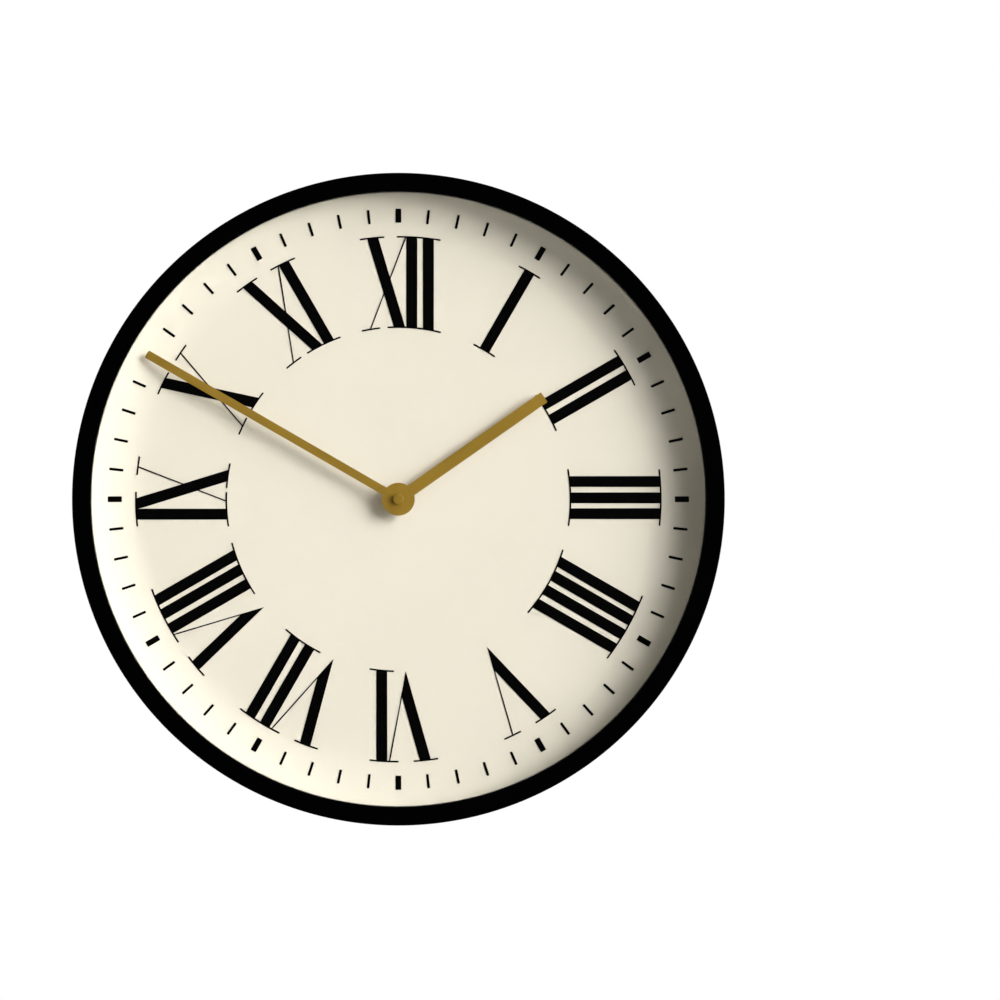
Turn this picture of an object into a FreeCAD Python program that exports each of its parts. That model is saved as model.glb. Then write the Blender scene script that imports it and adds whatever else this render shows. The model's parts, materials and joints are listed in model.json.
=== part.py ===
import FreeCAD, Part
import math
import operator
import os
from types import SimpleNamespace

import Sketcher

# Round wall clock: a black drum case, a dished dial under flat glass, and a battery quartz movement.
# Millimetres. +Z is up, +X is to the right seen from the front, and the dial faces -Y.
# The origin is where the dial's axis meets the wall. A "height" is a distance forward of the wall,
# towards -Y, and a "clock angle" is clockwise from twelve, seen from the front, in degrees.

Vector = FreeCAD.Vector

DIMENSIONS = {
    # case
    "case_radius": 215.0,
    "case_depth": 85.0,
    "case_wall": 2.5,
    "rim_inner_radius": 202.5,
    "rim_thickness": 3.0,
    "rim_edge_radius": 1.2,
    "case_edge_radius": 0.8,
    "boss_radius": 3.25,
    "front_boss_circle": 209.5,
    "front_boss_back": 68.0,
    "rear_boss_circle": 209.5,
    "rear_boss_front": 40.0,
    "pilot_radius": 1.1,
    "pilot_depth": 10.0,
    # glass and its seats
    "glass_radius": 206.0,
    "glass_back": 79.0,
    "glass_thickness": 2.0,
    "gasket_inner_radius": 202.8,
    "spacer_inner_radius": 203.0,
    # dial
    "dial_front": 56.0,
    "dial_thickness": 1.0,
    "dial_flat_radius": 168.0,
    "dial_rise": 12.0,
    "dial_hole_radius": 4.2,
    "dial_lip_radius": 206.0,
    "dial_ear_radius": 4.0,
    "dial_ear_circle": 208.2,
    "dial_ear_hole": 1.6,
    "ink_thickness": 0.15,
    # printed numerals and minute track
    "numeral_inner": 113.7,
    "numeral_outer": 174.4,
    "thick_stroke": 7.05,
    "thin_stroke": 0.7,
    "serif_thickness": 0.85,
    "thick_serif_half": 8.0,
    "thin_serif_half": 6.0,
    "track_inner": 183.4,
    "track_outer": 192.3,
    "hour_mark_width": 3.55,
    "minute_mark_width": 1.45,
    # back cover and hanger
    "cover_back": 5.5,
    "cover_thickness": 2.5,
    "cover_radius": 212.2,
    "well_inner_radius": 46.0,
    "well_wall": 2.0,
    "well_front": 40.0,
    "well_play": 0.1,
    "well_flange_radius": 53.0,
    "well_flange_thickness": 1.5,
    "cover_hole_radius": 1.6,
    "window_half_width": 12.0,
    "window_bottom": 156.0,
    "window_top": 190.0,
    "hanger_thickness": 1.2,
    "hanger_half_width": 26.0,
    "hanger_bottom": 148.0,
    "hanger_top": 197.0,
    "hanger_corner": 5.0,
    "keyhole_radius": 5.0,
    "keyhole_height": 168.0,
    "slot_half_width": 2.5,
    "slot_rise": 12.0,
    "hanger_screw_side": 20.0,
    "hanger_screw_low": 155.0,
    "hanger_screw_high": 190.0,
    "hanger_screw_play": 0.3,
    # self-tapping screws
    "screw_head_radius": 2.7,
    "screw_head_height": 1.8,
    "screw_shank_radius": 1.08,
    "screw_crown_radius": 1.89,
    "screw_shoulder_height": 0.81,
    "screw_point_length": 1.2,
    "screw_point_radius": 0.3,
    "recess_length": 3.24,
    "recess_width": 0.6,
    "recess_depth": 0.99,
    "long_screw_length": 9.5,
    "short_screw_length": 6.5,
    # movement housing
    "movement_half": 28.0,
    "movement_corner": 3.0,
    "movement_back": 38.0,
    "movement_wall": 1.2,
    "movement_joint": 52.8,
    "cover_plate_front": 54.0,
    "tube_radius": 3.95,
    "tube_bore": 2.6,
    "tube_front": 62.0,
    "partition_top": -10.4,
    "partition_thickness": 1.0,
    "battery_door_half": 25.6,
    "post_radius": 1.5,
    "bridge_back": 43.4,
    "bridge_front": 44.6,
    "pivot_depth": 0.8,
    "clip_height": 15.0,
    "clip_half_width": 3.0,
    "clip_thickness": 1.2,
    "clip_back": 46.5,
    "catch_back": 48.1,
    "catch_length": 1.8,
    "catch_half_width": 1.4,
    "catch_proud": 0.9,
    "catch_root": 0.5,
    "catch_play": 0.1,
    "clip_gap": 0.05,
    "clip_root": 4.0,
    "board_back": 41.0,
    "board_thickness": 1.0,
    "board_left": -26.0,
    "board_right": -9.5,
    "board_low": 11.0,
    "board_high": 26.0,
    # fixing of the movement to the dial
    "washer_inner": 4.1,
    "rubber_washer_outer": 10.0,
    "tube_washer_outer": 8.0,
    "tube_washer_thickness": 0.8,
    "tube_nut_flats": 11.0,
    "tube_nut_thickness": 2.5,
    "tube_nut_play": 0.03,
    # battery and its contacts
    "cell_radius": 7.25,
    "cell_length": 50.5,
    "nub_radius": 2.75,
    "nub_length": 1.0,
    "cell_drop": 19.2,
    "cell_height": 45.4,
    "contact_back": 40.0,
    "contact_length": 11.0,
    "contact_half_width": 5.0,
    "contact_thickness": 0.4,
    "contact_gap": 0.15,
    "contact_bump_half": 1.8,
    "contact_tip_half": 0.8,
    # wheel train: axes, levels and modules
    "third_axis_x": -10.2,
    "intermediate_distance": 7.7,
    "intermediate_angle": 30.0,
    "rotor_distance": 6.6,
    "setting_axis_x": 10.8,
    "level_one": 40.2,
    "level_two": 41.8,
    "level_four": 45.2,
    "level_five": 47.2,
    "level_six": 49.4,
    "thin_wheel": 1.0,
    "thick_wheel": 1.2,
    "train_module": 0.22,
    "seconds_module": 0.24,
    "minute_module": 0.45,
    "hour_module": 0.432,
    "thin_arbor": 0.4,
    "seconds_arbor_radius": 0.45,
    "third_arbor_radius": 0.5,
    "pivot_play": 0.06,
    "arbor_back": 38.6,
    "long_arbor_front": 53.4,
    "intermediate_hub": 0.9,
    "seconds_hub": 0.85,
    "setting_hub": 1.7,
    # motor and board
    "stator_thickness": 1.0,
    "stator_bore": 3.3,
    "stator_arm": 3.5,
    "stator_margin": 0.5,
    "stator_depth": 9.0,
    "stator_coil_gap": 0.4,
    "lobe_half": 4.6,
    "lobe_tip_half": 2.2,
    "lobe_drop": 3.9,
    "magnet_radius": 2.8,
    "magnet_back": 45.0,
    "magnet_length": 3.0,
    "coil_line": 21.5,
    "core_half_width": 1.5,
    "core_left": -8.5,
    "core_right": 24.5,
    "bobbin_left": -4.0,
    "bobbin_right": 20.0,
    "bobbin_tube": 2.0,
    "bobbin_flange": 4.0,
    "bobbin_wall": 0.8,
    "winding_radius": 3.7,
    "crystal_radius": 1.0,
    "crystal_length": 6.0,
    "crystal_left": -22.0,
    "crystal_line": 23.0,
    "chip_radius": 2.6,
    "chip_top_radius": 1.43,
    "chip_height": 1.0,
    "chip_side": -15.0,
    "chip_line": 16.0,
    # motion work and setting knob
    "minute_arbor_bore": 0.65,
    "minute_arbor_radius": 1.6,
    "minute_arbor_tail": 1.2,
    "minute_arbor_back": 44.9,
    "clutch_seat": 46.4,
    "centre_wheel_bore": 1.25,
    "clutch_radius": 3.1,
    "clutch_thickness": 0.3,
    "clutch_lift": 0.1,
    "hour_pipe_bore": 1.7,
    "hour_pipe_radius": 2.5,
    "hour_shoulder_radius": 3.6,
    "hour_shoulder_front": 52.4,
    "setting_arbor_radius": 1.0,
    "knob_radius": 5.5,
    "knob_back": 34.0,
    "knob_front": 37.4,
    "knurl_radius": 0.45,
    # hands
    "hand_thickness": 0.8,
    "hub_radius": 10.85,
    "hour_hand_back": 64.2,
    "hour_hand_length": 117.8,
    "hour_hand_half": 3.9,
    "hour_hand_angle": 55.0,
    "minute_hand_back": 67.6,
    "minute_hand_length": 191.9,
    "minute_hand_half": 2.76,
    "minute_hand_angle": 300.0,
    "collet_back": 62.4,
    "collet_radius": 4.4,
    "collet_neck": 3.4,
    "thread_radius": 1.3,
    "thread_flat_half": 1.0,
    "thread_front": 70.2,
    "hand_nut_radius": 3.5,
    "hand_nut_front": 72.2,
    "hand_nut_bevel": 0.5,
    "hand_nut_bore_front": 71.2,
    "seconds_arbor_front": 70.8,
}

SCREWS_ROUND_CASE = 6
FRONT_BOSS_ANGLE = 15.0
REAR_BOSS_ANGLE = 45.0
KNURLS = 24
BRIDGE_POSTS = [(-20.0, -8.3), (-20.0, 8.2), (20.5, -8.3), (14.4, 15.4)]
BOARD_POSTS = [(-23.5, 13.5), (-11.5, 23.5)]
BRIDGE_OUTLINE = [(-22.0, -10.0), (22.5, -10.0), (22.5, 6.0), (16.2, 6.0), (16.2, 17.1)]
BRIDGE_OUTLINE += [(2.5, 17.1), (2.5, 9.8), (-22.0, 9.8)]

# teeth: two gear chains, from the rotor to the centre wheel and from the cannon pinion to the hours
ROTOR_TEETH = 10
MIDDLE_TEETH = 50
MIDDLE_PINION = 10
SECONDS_TEETH = 60
SECONDS_PINION = 10
THIRD_TEETH = 75
THIRD_PINION = 10
CENTRE_TEETH = 80
CANNON_TEETH = 12
SETTING_TEETH = 36
SETTING_PINION = 10
HOUR_TEETH = 40
PRESSURE_ANGLE = math.radians(20.0)
TOOTH_THINNING = 0.12
DEDENDUM = 1.3
ADDENDUM = 0.85
ROOT_RELIEF = 0.75

# how far a cutting shape runs past what it cuts
CUT_PAST = 1.0
STROKE_PAST = 6.0
MARK_PAST = 2.0
WEDGE_REACH = 1.2
DRILL_LENGTH = 100.0
V_FOOT_GAP = 0.7

OPERATIONS = {"+": operator.add, "-": operator.sub, "*": operator.mul, "/": operator.truediv}


class Size:
    """A number that keeps the spreadsheet formula it comes from."""

    def __init__(self, number, formula):
        self.number = number
        self.formula = formula

    def __add__(self, other):
        return combine(self, "+", other)

    def __radd__(self, other):
        return combine(other, "+", self)

    def __sub__(self, other):
        return combine(self, "-", other)

    def __rsub__(self, other):
        return combine(other, "-", self)

    def __mul__(self, other):
        return combine(self, "*", other)

    def __rmul__(self, other):
        return combine(other, "*", self)

    def __truediv__(self, other):
        return combine(self, "/", other)

    def __neg__(self):
        return combine(0, "-", self)

    def __float__(self):
        return self.number


def as_size(value):
    """A Size from a Size or a plain number."""
    if isinstance(value, Size):
        return value
    return Size(float(value), "(" + format(float(value), ".10f") + ")")


def combine(left, sign, right):
    """One arithmetic step, on the numbers and in the formula alike."""
    left = as_size(left)
    right = as_size(right)
    number = OPERATIONS[sign](left.number, right.number)
    return Size(number, "(" + left.formula + " " + sign + " " + right.formula + ")")


def square_root(size):
    """The square root of a Size."""
    return Size(math.sqrt(size.number), "sqrt(" + size.formula + ")")


def fill_sheet(doc):
    """Put the driving dimensions in a spreadsheet and return them as sizes bound to its cells."""
    sheet = doc.addObject("Spreadsheet::Sheet", "sizes")
    bound = {}
    for row, (name, value) in enumerate(DIMENSIONS.items(), start=1):
        cell = "B%d" % row
        sheet.set("A%d" % row, name)
        sheet.set(cell, repr(value))
        sheet.setAlias(cell, name)
        bound[name] = Size(value, "sizes." + name)
    doc.recompute()
    return SimpleNamespace(**bound)


# ---- Sketches ----

def start_body(doc, name):
    """A new body whose label is the node's name."""
    body = doc.addObject("PartDesign::Body", name)
    body.Label = name
    return body


def start_sketch(body, plane, height=0.0):
    """A sketch on one of the body's own origin planes, moved forward of the wall by height."""
    sketch = body.newObject("Sketcher::SketchObject", body.Name + "_sketch")
    for feature in body.Origin.OriginFeatures:
        if feature.Role == plane:
            sketch.AttachmentSupport = (feature, [""])
    sketch.MapMode = "FlatFace"
    bind_offset(sketch, height)
    return sketch


def bind_offset(sketch, height):
    """Bind the sketch's distance from its plane to a size."""
    height = as_size(height)
    sketch.AttachmentOffset = FreeCAD.Placement(Vector(0, 0, height.number), FreeCAD.Rotation())
    sketch.setExpression("AttachmentOffset.Base.z", height.formula)


def bind_constraints(sketch, rules):
    """Add the (constraint arguments, size) rules and bind each one that has a size."""
    constraints = []
    for arguments, size in rules:
        if size is None:
            constraints.append(Sketcher.Constraint(*arguments))
        else:
            constraints.append(Sketcher.Constraint(*arguments, size.number))
    first = sketch.ConstraintCount
    sketch.addConstraint(constraints)
    for index, (arguments, size) in enumerate(rules):
        if size is not None:
            sketch.setExpression("Constraints[%d]" % (first + index), size.formula)


def place_rules(geometry, vertex, x, y):
    """The two rules that hold one point of a sketch at (x, y)."""
    across = (("DistanceX", -1, 1, geometry, vertex), as_size(x))
    along = (("DistanceY", -1, 1, geometry, vertex), as_size(y))
    return [across, along]


def arc_between(start, end, radius):
    """The short arc from start to end; a positive radius turns anticlockwise."""
    half = (end - start) * 0.5
    rise = math.sqrt(max(radius * radius - half.Length ** 2, 0.0))
    normal = Vector(-half.y, half.x, 0).normalize()
    centre = start + half + normal * math.copysign(rise, radius)
    first = math.atan2(start.y - centre.y, start.x - centre.x)
    last = math.atan2(end.y - centre.y, end.x - centre.x)
    if radius < 0:
        first, last = last, first
    return Part.ArcOfCircle(Part.Circle(centre, Vector(0, 0, 1), abs(radius)), first, last)


def draw_outline(sketch, corners):
    """A closed outline. A corner is (x, y), or (x, y, radius) when an arc leaves it."""
    points = [Vector(float(corner[0]), float(corner[1]), 0) for corner in corners]
    pieces = []
    rules = []
    for index, corner in enumerate(corners):
        start = points[index]
        end = points[(index + 1) % len(points)]
        if len(corner) == 3:
            radius = as_size(corner[2])
            piece = sketch.addGeometry(arc_between(start, end, radius.number), False)
            pieces.append((piece, 1, 2) if radius.number > 0 else (piece, 2, 1))
            size = radius if radius.number > 0 else -radius
            rules.append((("Radius", piece), size))
        else:
            pieces.append((sketch.addGeometry(Part.LineSegment(start, end), False), 1, 2))
    for index, corner in enumerate(corners):
        piece, first, _ = pieces[index]
        before, _, last = pieces[index - 1]
        rules.append((("Coincident", before, last, piece, first), None))
        rules += place_rules(piece, first, corner[0], corner[1])
    bind_constraints(sketch, rules)


def draw_circle(sketch, x, y, radius):
    """A circle of the given radius about (x, y)."""
    radius = as_size(radius)
    centre = Vector(float(x), float(y), 0)
    geometry = sketch.addGeometry(Part.Circle(centre, Vector(0, 0, 1), radius.number), False)
    bind_constraints(sketch, [(("Radius", geometry), radius)] + place_rules(geometry, 3, x, y))


def draw_box(sketch, left, right, low, high):
    """A rectangle between two pairs of sides."""
    draw_outline(sketch, [(left, low), (right, low), (right, high), (left, high)])


# ---- Features ----

def add_feature(body, kind, sketch, length=None):
    """A PartDesign feature of a sketch, its length bound to a size."""
    feature = body.newObject("PartDesign::" + kind, body.Name + "_" + kind.lower())
    feature.Profile = sketch
    if length is not None:
        length = as_size(length)
        feature.Length = length.number
        feature.setExpression("Length", length.formula)
    return feature


def pad(body, sketch, length):
    """Pad a sketch forward, away from the wall."""
    return add_feature(body, "Pad", sketch, length)


def pocket(body, sketch, length):
    """Cut a sketch backwards, towards the wall."""
    return add_feature(body, "Pocket", sketch, length)


def revolve(body, sketch, axis="V_Axis"):
    """Turn a sketch all the way round one of its axes."""
    feature = add_feature(body, "Revolution", sketch)
    feature.ReferenceAxis = (sketch, [axis])
    feature.Angle = 360.0
    return feature


def round_edges(doc, body, feature, wanted, radius):
    """Fillet the edges of a feature for which wanted(edge) is true."""
    doc.recompute()
    names = []
    for index, edge in enumerate(feature.Shape.Edges, start=1):
        if wanted(edge):
            names.append("Edge%d" % index)
    fillet = body.newObject("PartDesign::Fillet", body.Name + "_fillet")
    fillet.Base = (feature, names)
    fillet.Radius = radius.number
    fillet.setExpression("Radius", radius.formula)
    return fillet


def is_circle_at(edge, radius, height):
    """True for a circular edge of that radius and height."""
    if not isinstance(edge.Curve, Part.Circle):
        return False
    same_radius = abs(edge.Curve.Radius - radius.number) < 1e-6
    return same_radius and abs(edge.Curve.Center.y + height.number) < 1e-6


def runs_forward(edge):
    """True for a straight edge that runs from back to front."""
    if not isinstance(edge.Curve, Part.Line):
        return False
    return abs(edge.tangentAt(edge.FirstParameter).y) > 0.999


def turned(doc, name, corners):
    """A body turned about the dial's axis from an outline of (radius, height[, arc radius])."""
    body = start_body(doc, name)
    sketch = start_sketch(body, "XY_Plane")
    outline = [(corner[0], -as_size(corner[1])) + tuple(corner[2:]) for corner in corners]
    draw_outline(sketch, outline)
    revolve(body, sketch)
    return body


def ring(doc, name, inner, outer, back, front):
    """A plain ring, or a disc when the inner radius is nought."""
    return turned(doc, name, [(inner, back), (outer, back), (outer, front), (inner, front)])


def holes(body, spots, radius, front, depth):
    """Round holes at the spots, cut from the height called front backwards."""
    sketch = start_sketch(body, "XZ_Plane", front)
    for x, z in spots:
        draw_circle(sketch, x, z, radius)
    return pocket(body, sketch, depth)


def studs(body, spots, radius, back, length):
    """Round studs at the spots, standing forward from the height called back."""
    sketch = start_sketch(body, "XZ_Plane", back)
    for x, z in spots:
        draw_circle(sketch, x, z, radius)
    return pad(body, sketch, length)


def block(body, left, right, low, high, back, length):
    """A rectangular pad between two pairs of sides."""
    sketch = start_sketch(body, "XZ_Plane", back)
    draw_box(sketch, left, right, low, high)
    return pad(body, sketch, length)


def opening(body, left, right, low, high, front, depth):
    """A rectangular cut from the height called front backwards."""
    sketch = start_sketch(body, "XZ_Plane", front)
    draw_box(sketch, left, right, low, high)
    return pocket(body, sketch, depth)


def put_at(node, x, height, z):
    """Move a node to a place bound to sizes."""
    place = [as_size(x), -as_size(height), as_size(z)]
    node.Placement = FreeCAD.Placement(Vector(*[size.number for size in place]), node.Placement.Rotation)
    for letter, size in zip("xyz", place):
        node.setExpression("Placement.Base." + letter, size.formula)


def clock_point(radius, angle):
    """The (x, z) point at a radius and a clock angle."""
    turn = math.radians(angle)
    return radius * math.sin(turn), radius * math.cos(turn)


def round_case(radius, first_angle):
    """The (x, z) points of the case's screws, evenly round a circle."""
    step = 360.0 / SCREWS_ROUND_CASE
    return [clock_point(radius, first_angle + step * turn) for turn in range(SCREWS_ROUND_CASE)]


# ---- Case, glass and back ----

def make_case_drum(doc, d):
    """Pressed steel drum with an inturned front rim and bosses for the dial and the back cover."""
    inside = d.case_radius - d.case_wall
    rim_back = d.case_depth - d.rim_thickness
    outline = [(inside, 0), (d.case_radius, 0), (d.case_radius, d.case_depth)]
    outline += [(d.rim_inner_radius, d.case_depth), (d.rim_inner_radius, rim_back), (inside, rim_back)]
    body = turned(doc, "case_drum", outline)

    def on_front(edge):
        outer = is_circle_at(edge, d.case_radius, d.case_depth)
        return outer or is_circle_at(edge, d.rim_inner_radius, d.case_depth)

    def on_back(edge):
        return is_circle_at(edge, d.case_radius, as_size(0))

    front = round_edges(doc, body, body.Tip, on_front, d.rim_edge_radius)
    round_edges(doc, body, front, on_back, d.case_edge_radius)
    boss_length = rim_back - d.front_boss_back
    front_spots = round_case(d.front_boss_circle, FRONT_BOSS_ANGLE)
    studs(body, front_spots, d.boss_radius, d.front_boss_back, boss_length)
    holes(body, front_spots, d.pilot_radius, d.front_boss_back + d.pilot_depth, d.pilot_depth)
    seat = d.cover_back + d.cover_thickness
    rear_spots = round_case(d.rear_boss_circle, REAR_BOSS_ANGLE)
    studs(body, rear_spots, d.boss_radius, seat, d.rear_boss_front - seat)
    holes(body, rear_spots, d.pilot_radius, seat + d.pilot_depth, d.pilot_depth)
    return body


def make_lens_gasket(doc, d):
    """Thin rubber ring between the glass and the back of the rim."""
    back = d.glass_back + d.glass_thickness
    front = d.case_depth - d.rim_thickness
    return ring(doc, "lens_gasket", d.gasket_inner_radius, d.glass_radius, back, front)


def make_glass_lens(doc, d):
    """Flat round glass."""
    front = d.glass_back + d.glass_thickness
    return ring(doc, "glass_lens", as_size(0), d.glass_radius, d.glass_back, front)


def make_spacer_ring(doc, d):
    """Black ring that holds the glass away from the dial's edge."""
    back = d.dial_front + d.dial_rise
    return ring(doc, "spacer_ring", d.spacer_inner_radius, d.glass_radius, back, d.glass_back)


def make_back_cover(doc, d):
    """Flat round back with a hole for the well and a window in front of the keyhole."""
    front = d.cover_back + d.cover_thickness
    hole = d.well_inner_radius + d.well_wall + d.well_play
    body = ring(doc, "back_cover", hole, d.cover_radius, d.cover_back, front)
    depth = d.cover_thickness + CUT_PAST
    holes(body, round_case(d.rear_boss_circle, REAR_BOSS_ANGLE), d.cover_hole_radius, front, depth)
    holes(body, hanger_screw_spots(d), d.pilot_radius, front, depth)
    half = d.window_half_width
    opening(body, -half, half, d.window_bottom, d.window_top, front, depth)
    return body


def make_battery_well(doc, d):
    """Tube through the back that opens to the battery and the knob; its flange is bonded to the cover."""
    inner = d.well_inner_radius
    tube = inner + d.well_wall
    seat = d.cover_back + d.cover_thickness
    step = seat + d.well_flange_thickness
    outline = [(inner, d.cover_back), (tube, d.cover_back), (tube, seat), (d.well_flange_radius, seat)]
    outline += [(d.well_flange_radius, step), (tube, step), (tube, d.well_front), (inner, d.well_front)]
    return turned(doc, "battery_well", outline)


def hanger_screw_spots(d):
    """The (x, z) points of the hanger plate's four screws."""
    sides = (-d.hanger_screw_side, d.hanger_screw_side)
    return [(side, level) for side in sides for level in (d.hanger_screw_low, d.hanger_screw_high)]


def make_hanger_plate(doc, d):
    """Steel plate with a keyhole for a wall screw."""
    back = d.cover_back - d.hanger_thickness
    body = start_body(doc, "hanger_plate")
    half = d.hanger_half_width
    plate = block(body, -half, half, d.hanger_bottom, d.hanger_top, back, d.hanger_thickness)
    round_edges(doc, body, plate, runs_forward, d.hanger_corner)
    depth = d.hanger_thickness + CUT_PAST
    top = d.keyhole_height + d.slot_rise
    slot = d.slot_half_width
    holes(body, [(0, d.keyhole_height)], d.keyhole_radius, d.cover_back, depth)
    opening(body, -slot, slot, d.keyhole_height, top, d.cover_back, depth)
    holes(body, [(0, top)], slot, d.cover_back, depth)
    holes(body, hanger_screw_spots(d), d.pilot_radius + d.hanger_screw_play, d.cover_back, depth)
    return body


def screw_shape(d, length):
    """A pan-headed screw with a cross recess; its seat is at the origin and it points forward."""
    tall = d.screw_head_height
    shank = d.screw_shank_radius
    outline = [(0, -tall), (d.screw_crown_radius, -tall)]
    outline += [(d.screw_head_radius, -d.screw_shoulder_height), (d.screw_head_radius, 0), (shank, 0)]
    outline += [(shank, length - d.screw_point_length), (d.screw_point_radius, length), (0, length)]
    points = [Vector(float(radius), -float(height), 0) for radius, height in outline]
    screw = Part.Face(Part.makePolygon(points + points[:1])).revolve(Vector(), Vector(0, 1, 0), 360)
    long_side = d.recess_length.number
    narrow = d.recess_width.number
    floor = tall.number - d.recess_depth.number
    for wide, high in ((long_side, narrow), (narrow, long_side)):
        corner = Vector(-wide / 2, floor, -high / 2)
        screw = screw.cut(Part.makeBox(wide, d.recess_depth.number + CUT_PAST, high, corner))
    return screw


def make_screws(doc, name, screw, spots, height):
    """One node of equal screws seated at the spots."""
    solids = []
    for x, z in spots:
        copy = screw.copy()
        copy.translate(Vector(float(x), -height.number, float(z)))
        solids.append(copy)
    return shaped(doc, name, Part.makeCompound(solids))


def shaped(doc, name, shape):
    """A node whose shape is worked out in code."""
    node = doc.addObject("Part::Feature", name)
    node.Label = name
    node.Shape = shape
    node.Placement = FreeCAD.Placement()
    return node


def make_case_screws(doc, d):
    """The screws of the dial, the back cover and the hanger plate."""
    long_screw = screw_shape(d, d.long_screw_length)
    short_screw = screw_shape(d, d.short_screw_length)
    lip_back = d.dial_front + d.dial_rise - d.dial_thickness
    front_spots = round_case(d.front_boss_circle, FRONT_BOSS_ANGLE)
    rear_spots = round_case(d.rear_boss_circle, REAR_BOSS_ANGLE)
    plate_back = d.cover_back - d.hanger_thickness
    return [
        make_screws(doc, "dial_screws", long_screw, front_spots, lip_back),
        make_screws(doc, "back_cover_screws", long_screw, rear_spots, d.cover_back),
        make_screws(doc, "hanger_screws", short_screw, hanger_screw_spots(d), plate_back),
    ]


# ---- Dial ----

def dish_radius(d):
    """Radius of the arc by which the dial's flat turns up to its edge, on the front surface."""
    run = d.rim_inner_radius - d.dial_flat_radius
    return (run * run + d.dial_rise * d.dial_rise) / (2 * d.dial_rise)


def make_dial(doc, d):
    """Sheet metal dial: a flat middle, an edge that curves forward, a lip and six screw ears."""
    back = d.dial_front - d.dial_thickness
    lip_front = d.dial_front + d.dial_rise
    lip_back = lip_front - d.dial_thickness
    front_arc = dish_radius(d)
    back_arc = front_arc + d.dial_thickness
    run = square_root(2 * back_arc * d.dial_rise - d.dial_rise * d.dial_rise)
    outline = [(d.dial_hole_radius, back), (d.dial_flat_radius, back, -back_arc)]
    outline += [(d.dial_flat_radius + run, lip_back), (d.dial_lip_radius, lip_back)]
    outline += [(d.dial_lip_radius, lip_front), (d.rim_inner_radius, lip_front, front_arc)]
    outline += [(d.dial_flat_radius, d.dial_front), (d.dial_hole_radius, d.dial_front)]
    body = turned(doc, "dial", outline)
    ears = round_case(d.dial_ear_circle, FRONT_BOSS_ANGLE)
    studs(body, ears, d.dial_ear_radius, lip_back, d.dial_thickness)
    spots = round_case(d.front_boss_circle, FRONT_BOSS_ANGLE)
    holes(body, spots, d.dial_ear_hole, lip_front, d.dial_thickness + CUT_PAST)
    return body


def ink_film(d, inner, outer):
    """A film of ink on the dial's front surface between two radii."""
    flat = d.dial_flat_radius.number
    front = d.dial_front.number
    film = d.ink_thickness.number
    arc = dish_radius(d).number

    def surface(radius, lift):
        run = max(radius - flat, 0.0)
        height = front + arc - math.sqrt((arc - lift) ** 2 - run ** 2)
        return Vector(radius, -height, 0)

    edges = [line(surface(radius, 0), surface(radius, film)) for radius in (inner, outer)]
    for lift in (0, film):
        if inner < flat:
            edges.append(line(surface(inner, lift), surface(min(outer, flat), lift)))
        if outer > flat:
            start = max(inner, flat)
            ends = [surface(radius, lift) for radius in (start, (start + outer) / 2, outer)]
            edges.append(Part.Arc(*ends).toShape())
    outline = Part.Wire(Part.__sortEdges__(edges))
    return Part.Face(outline).revolve(Vector(), Vector(0, 1, 0), 360)


def line(start, end):
    """A straight edge."""
    return Part.LineSegment(start, end).toShape()


def prism(points, back, front):
    """A straight prism from (x, z) points between two heights."""
    corners = [Vector(x, -back, z) for x, z in points]
    return Part.Face(Part.makePolygon(corners + corners[:1])).extrude(Vector(0, back - front, 0))


def straight_stroke(d, inner_u, outer_u, width):
    """A stroke's outline; its centre line is inner_u at the numeral's foot and outer_u at its top."""
    foot = d.numeral_inner.number
    top = d.numeral_outer.number
    slope = (outer_u - inner_u) / (top - foot)
    half = width / 2 * math.hypot(1.0, slope)
    low = foot - STROKE_PAST
    high = top + STROKE_PAST
    low_u = inner_u + slope * (low - foot)
    high_u = inner_u + slope * (high - foot)
    return [(low_u - half, low), (low_u + half, low), (high_u + half, high), (high_u - half, high)]


def stroke_i(d, u):
    """The letter I: its outline and the centres of its serifs at the foot and the top."""
    half = d.thick_serif_half.number
    return [straight_stroke(d, u, u, d.thick_stroke.number)], [(u, half)], [(u, half)]


def letter_x(d, thick_foot, thick_top, thin_foot, thin_top):
    """The letter X: a thick stroke and a thin one."""
    thick = straight_stroke(d, thick_foot, thick_top, d.thick_stroke.number)
    thin = straight_stroke(d, thin_foot, thin_top, d.thin_stroke.number)
    wide = d.thick_serif_half.number
    narrow = d.thin_serif_half.number
    return [thick, thin], [(thick_foot, wide), (thin_foot, narrow)], [(thick_top, wide), (thin_top, narrow)]


def letter_v(d, apex, left_top, right_top):
    """The letter V, pointed at the foot, from its apex and the outer corners of its top."""
    foot = math.sqrt((d.numeral_inner.number + V_FOOT_GAP) ** 2 - apex ** 2)
    tall = d.numeral_outer.number - foot
    left_slope = (left_top - apex) / tall
    right_slope = (right_top - apex) / tall
    thick = d.thick_stroke.number * math.hypot(1.0, left_slope)
    thin = d.thin_stroke.number * math.hypot(1.0, right_slope)
    crotch = (thick + thin) / (right_slope - left_slope)
    rise = tall + STROKE_PAST
    left = apex + left_slope * rise
    right = apex + right_slope * rise
    top = foot + rise
    inner = (apex + thick + left_slope * crotch, foot + crotch)
    outline = [(apex, foot), (right, top), (right - thin, top), inner, (left + thick, top), (left, top)]
    serifs = [(left_top + thick / 2, d.thick_serif_half.number)]
    serifs += [(right_top - thin / 2, d.thin_serif_half.number)]
    return [outline], [], serifs


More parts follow.
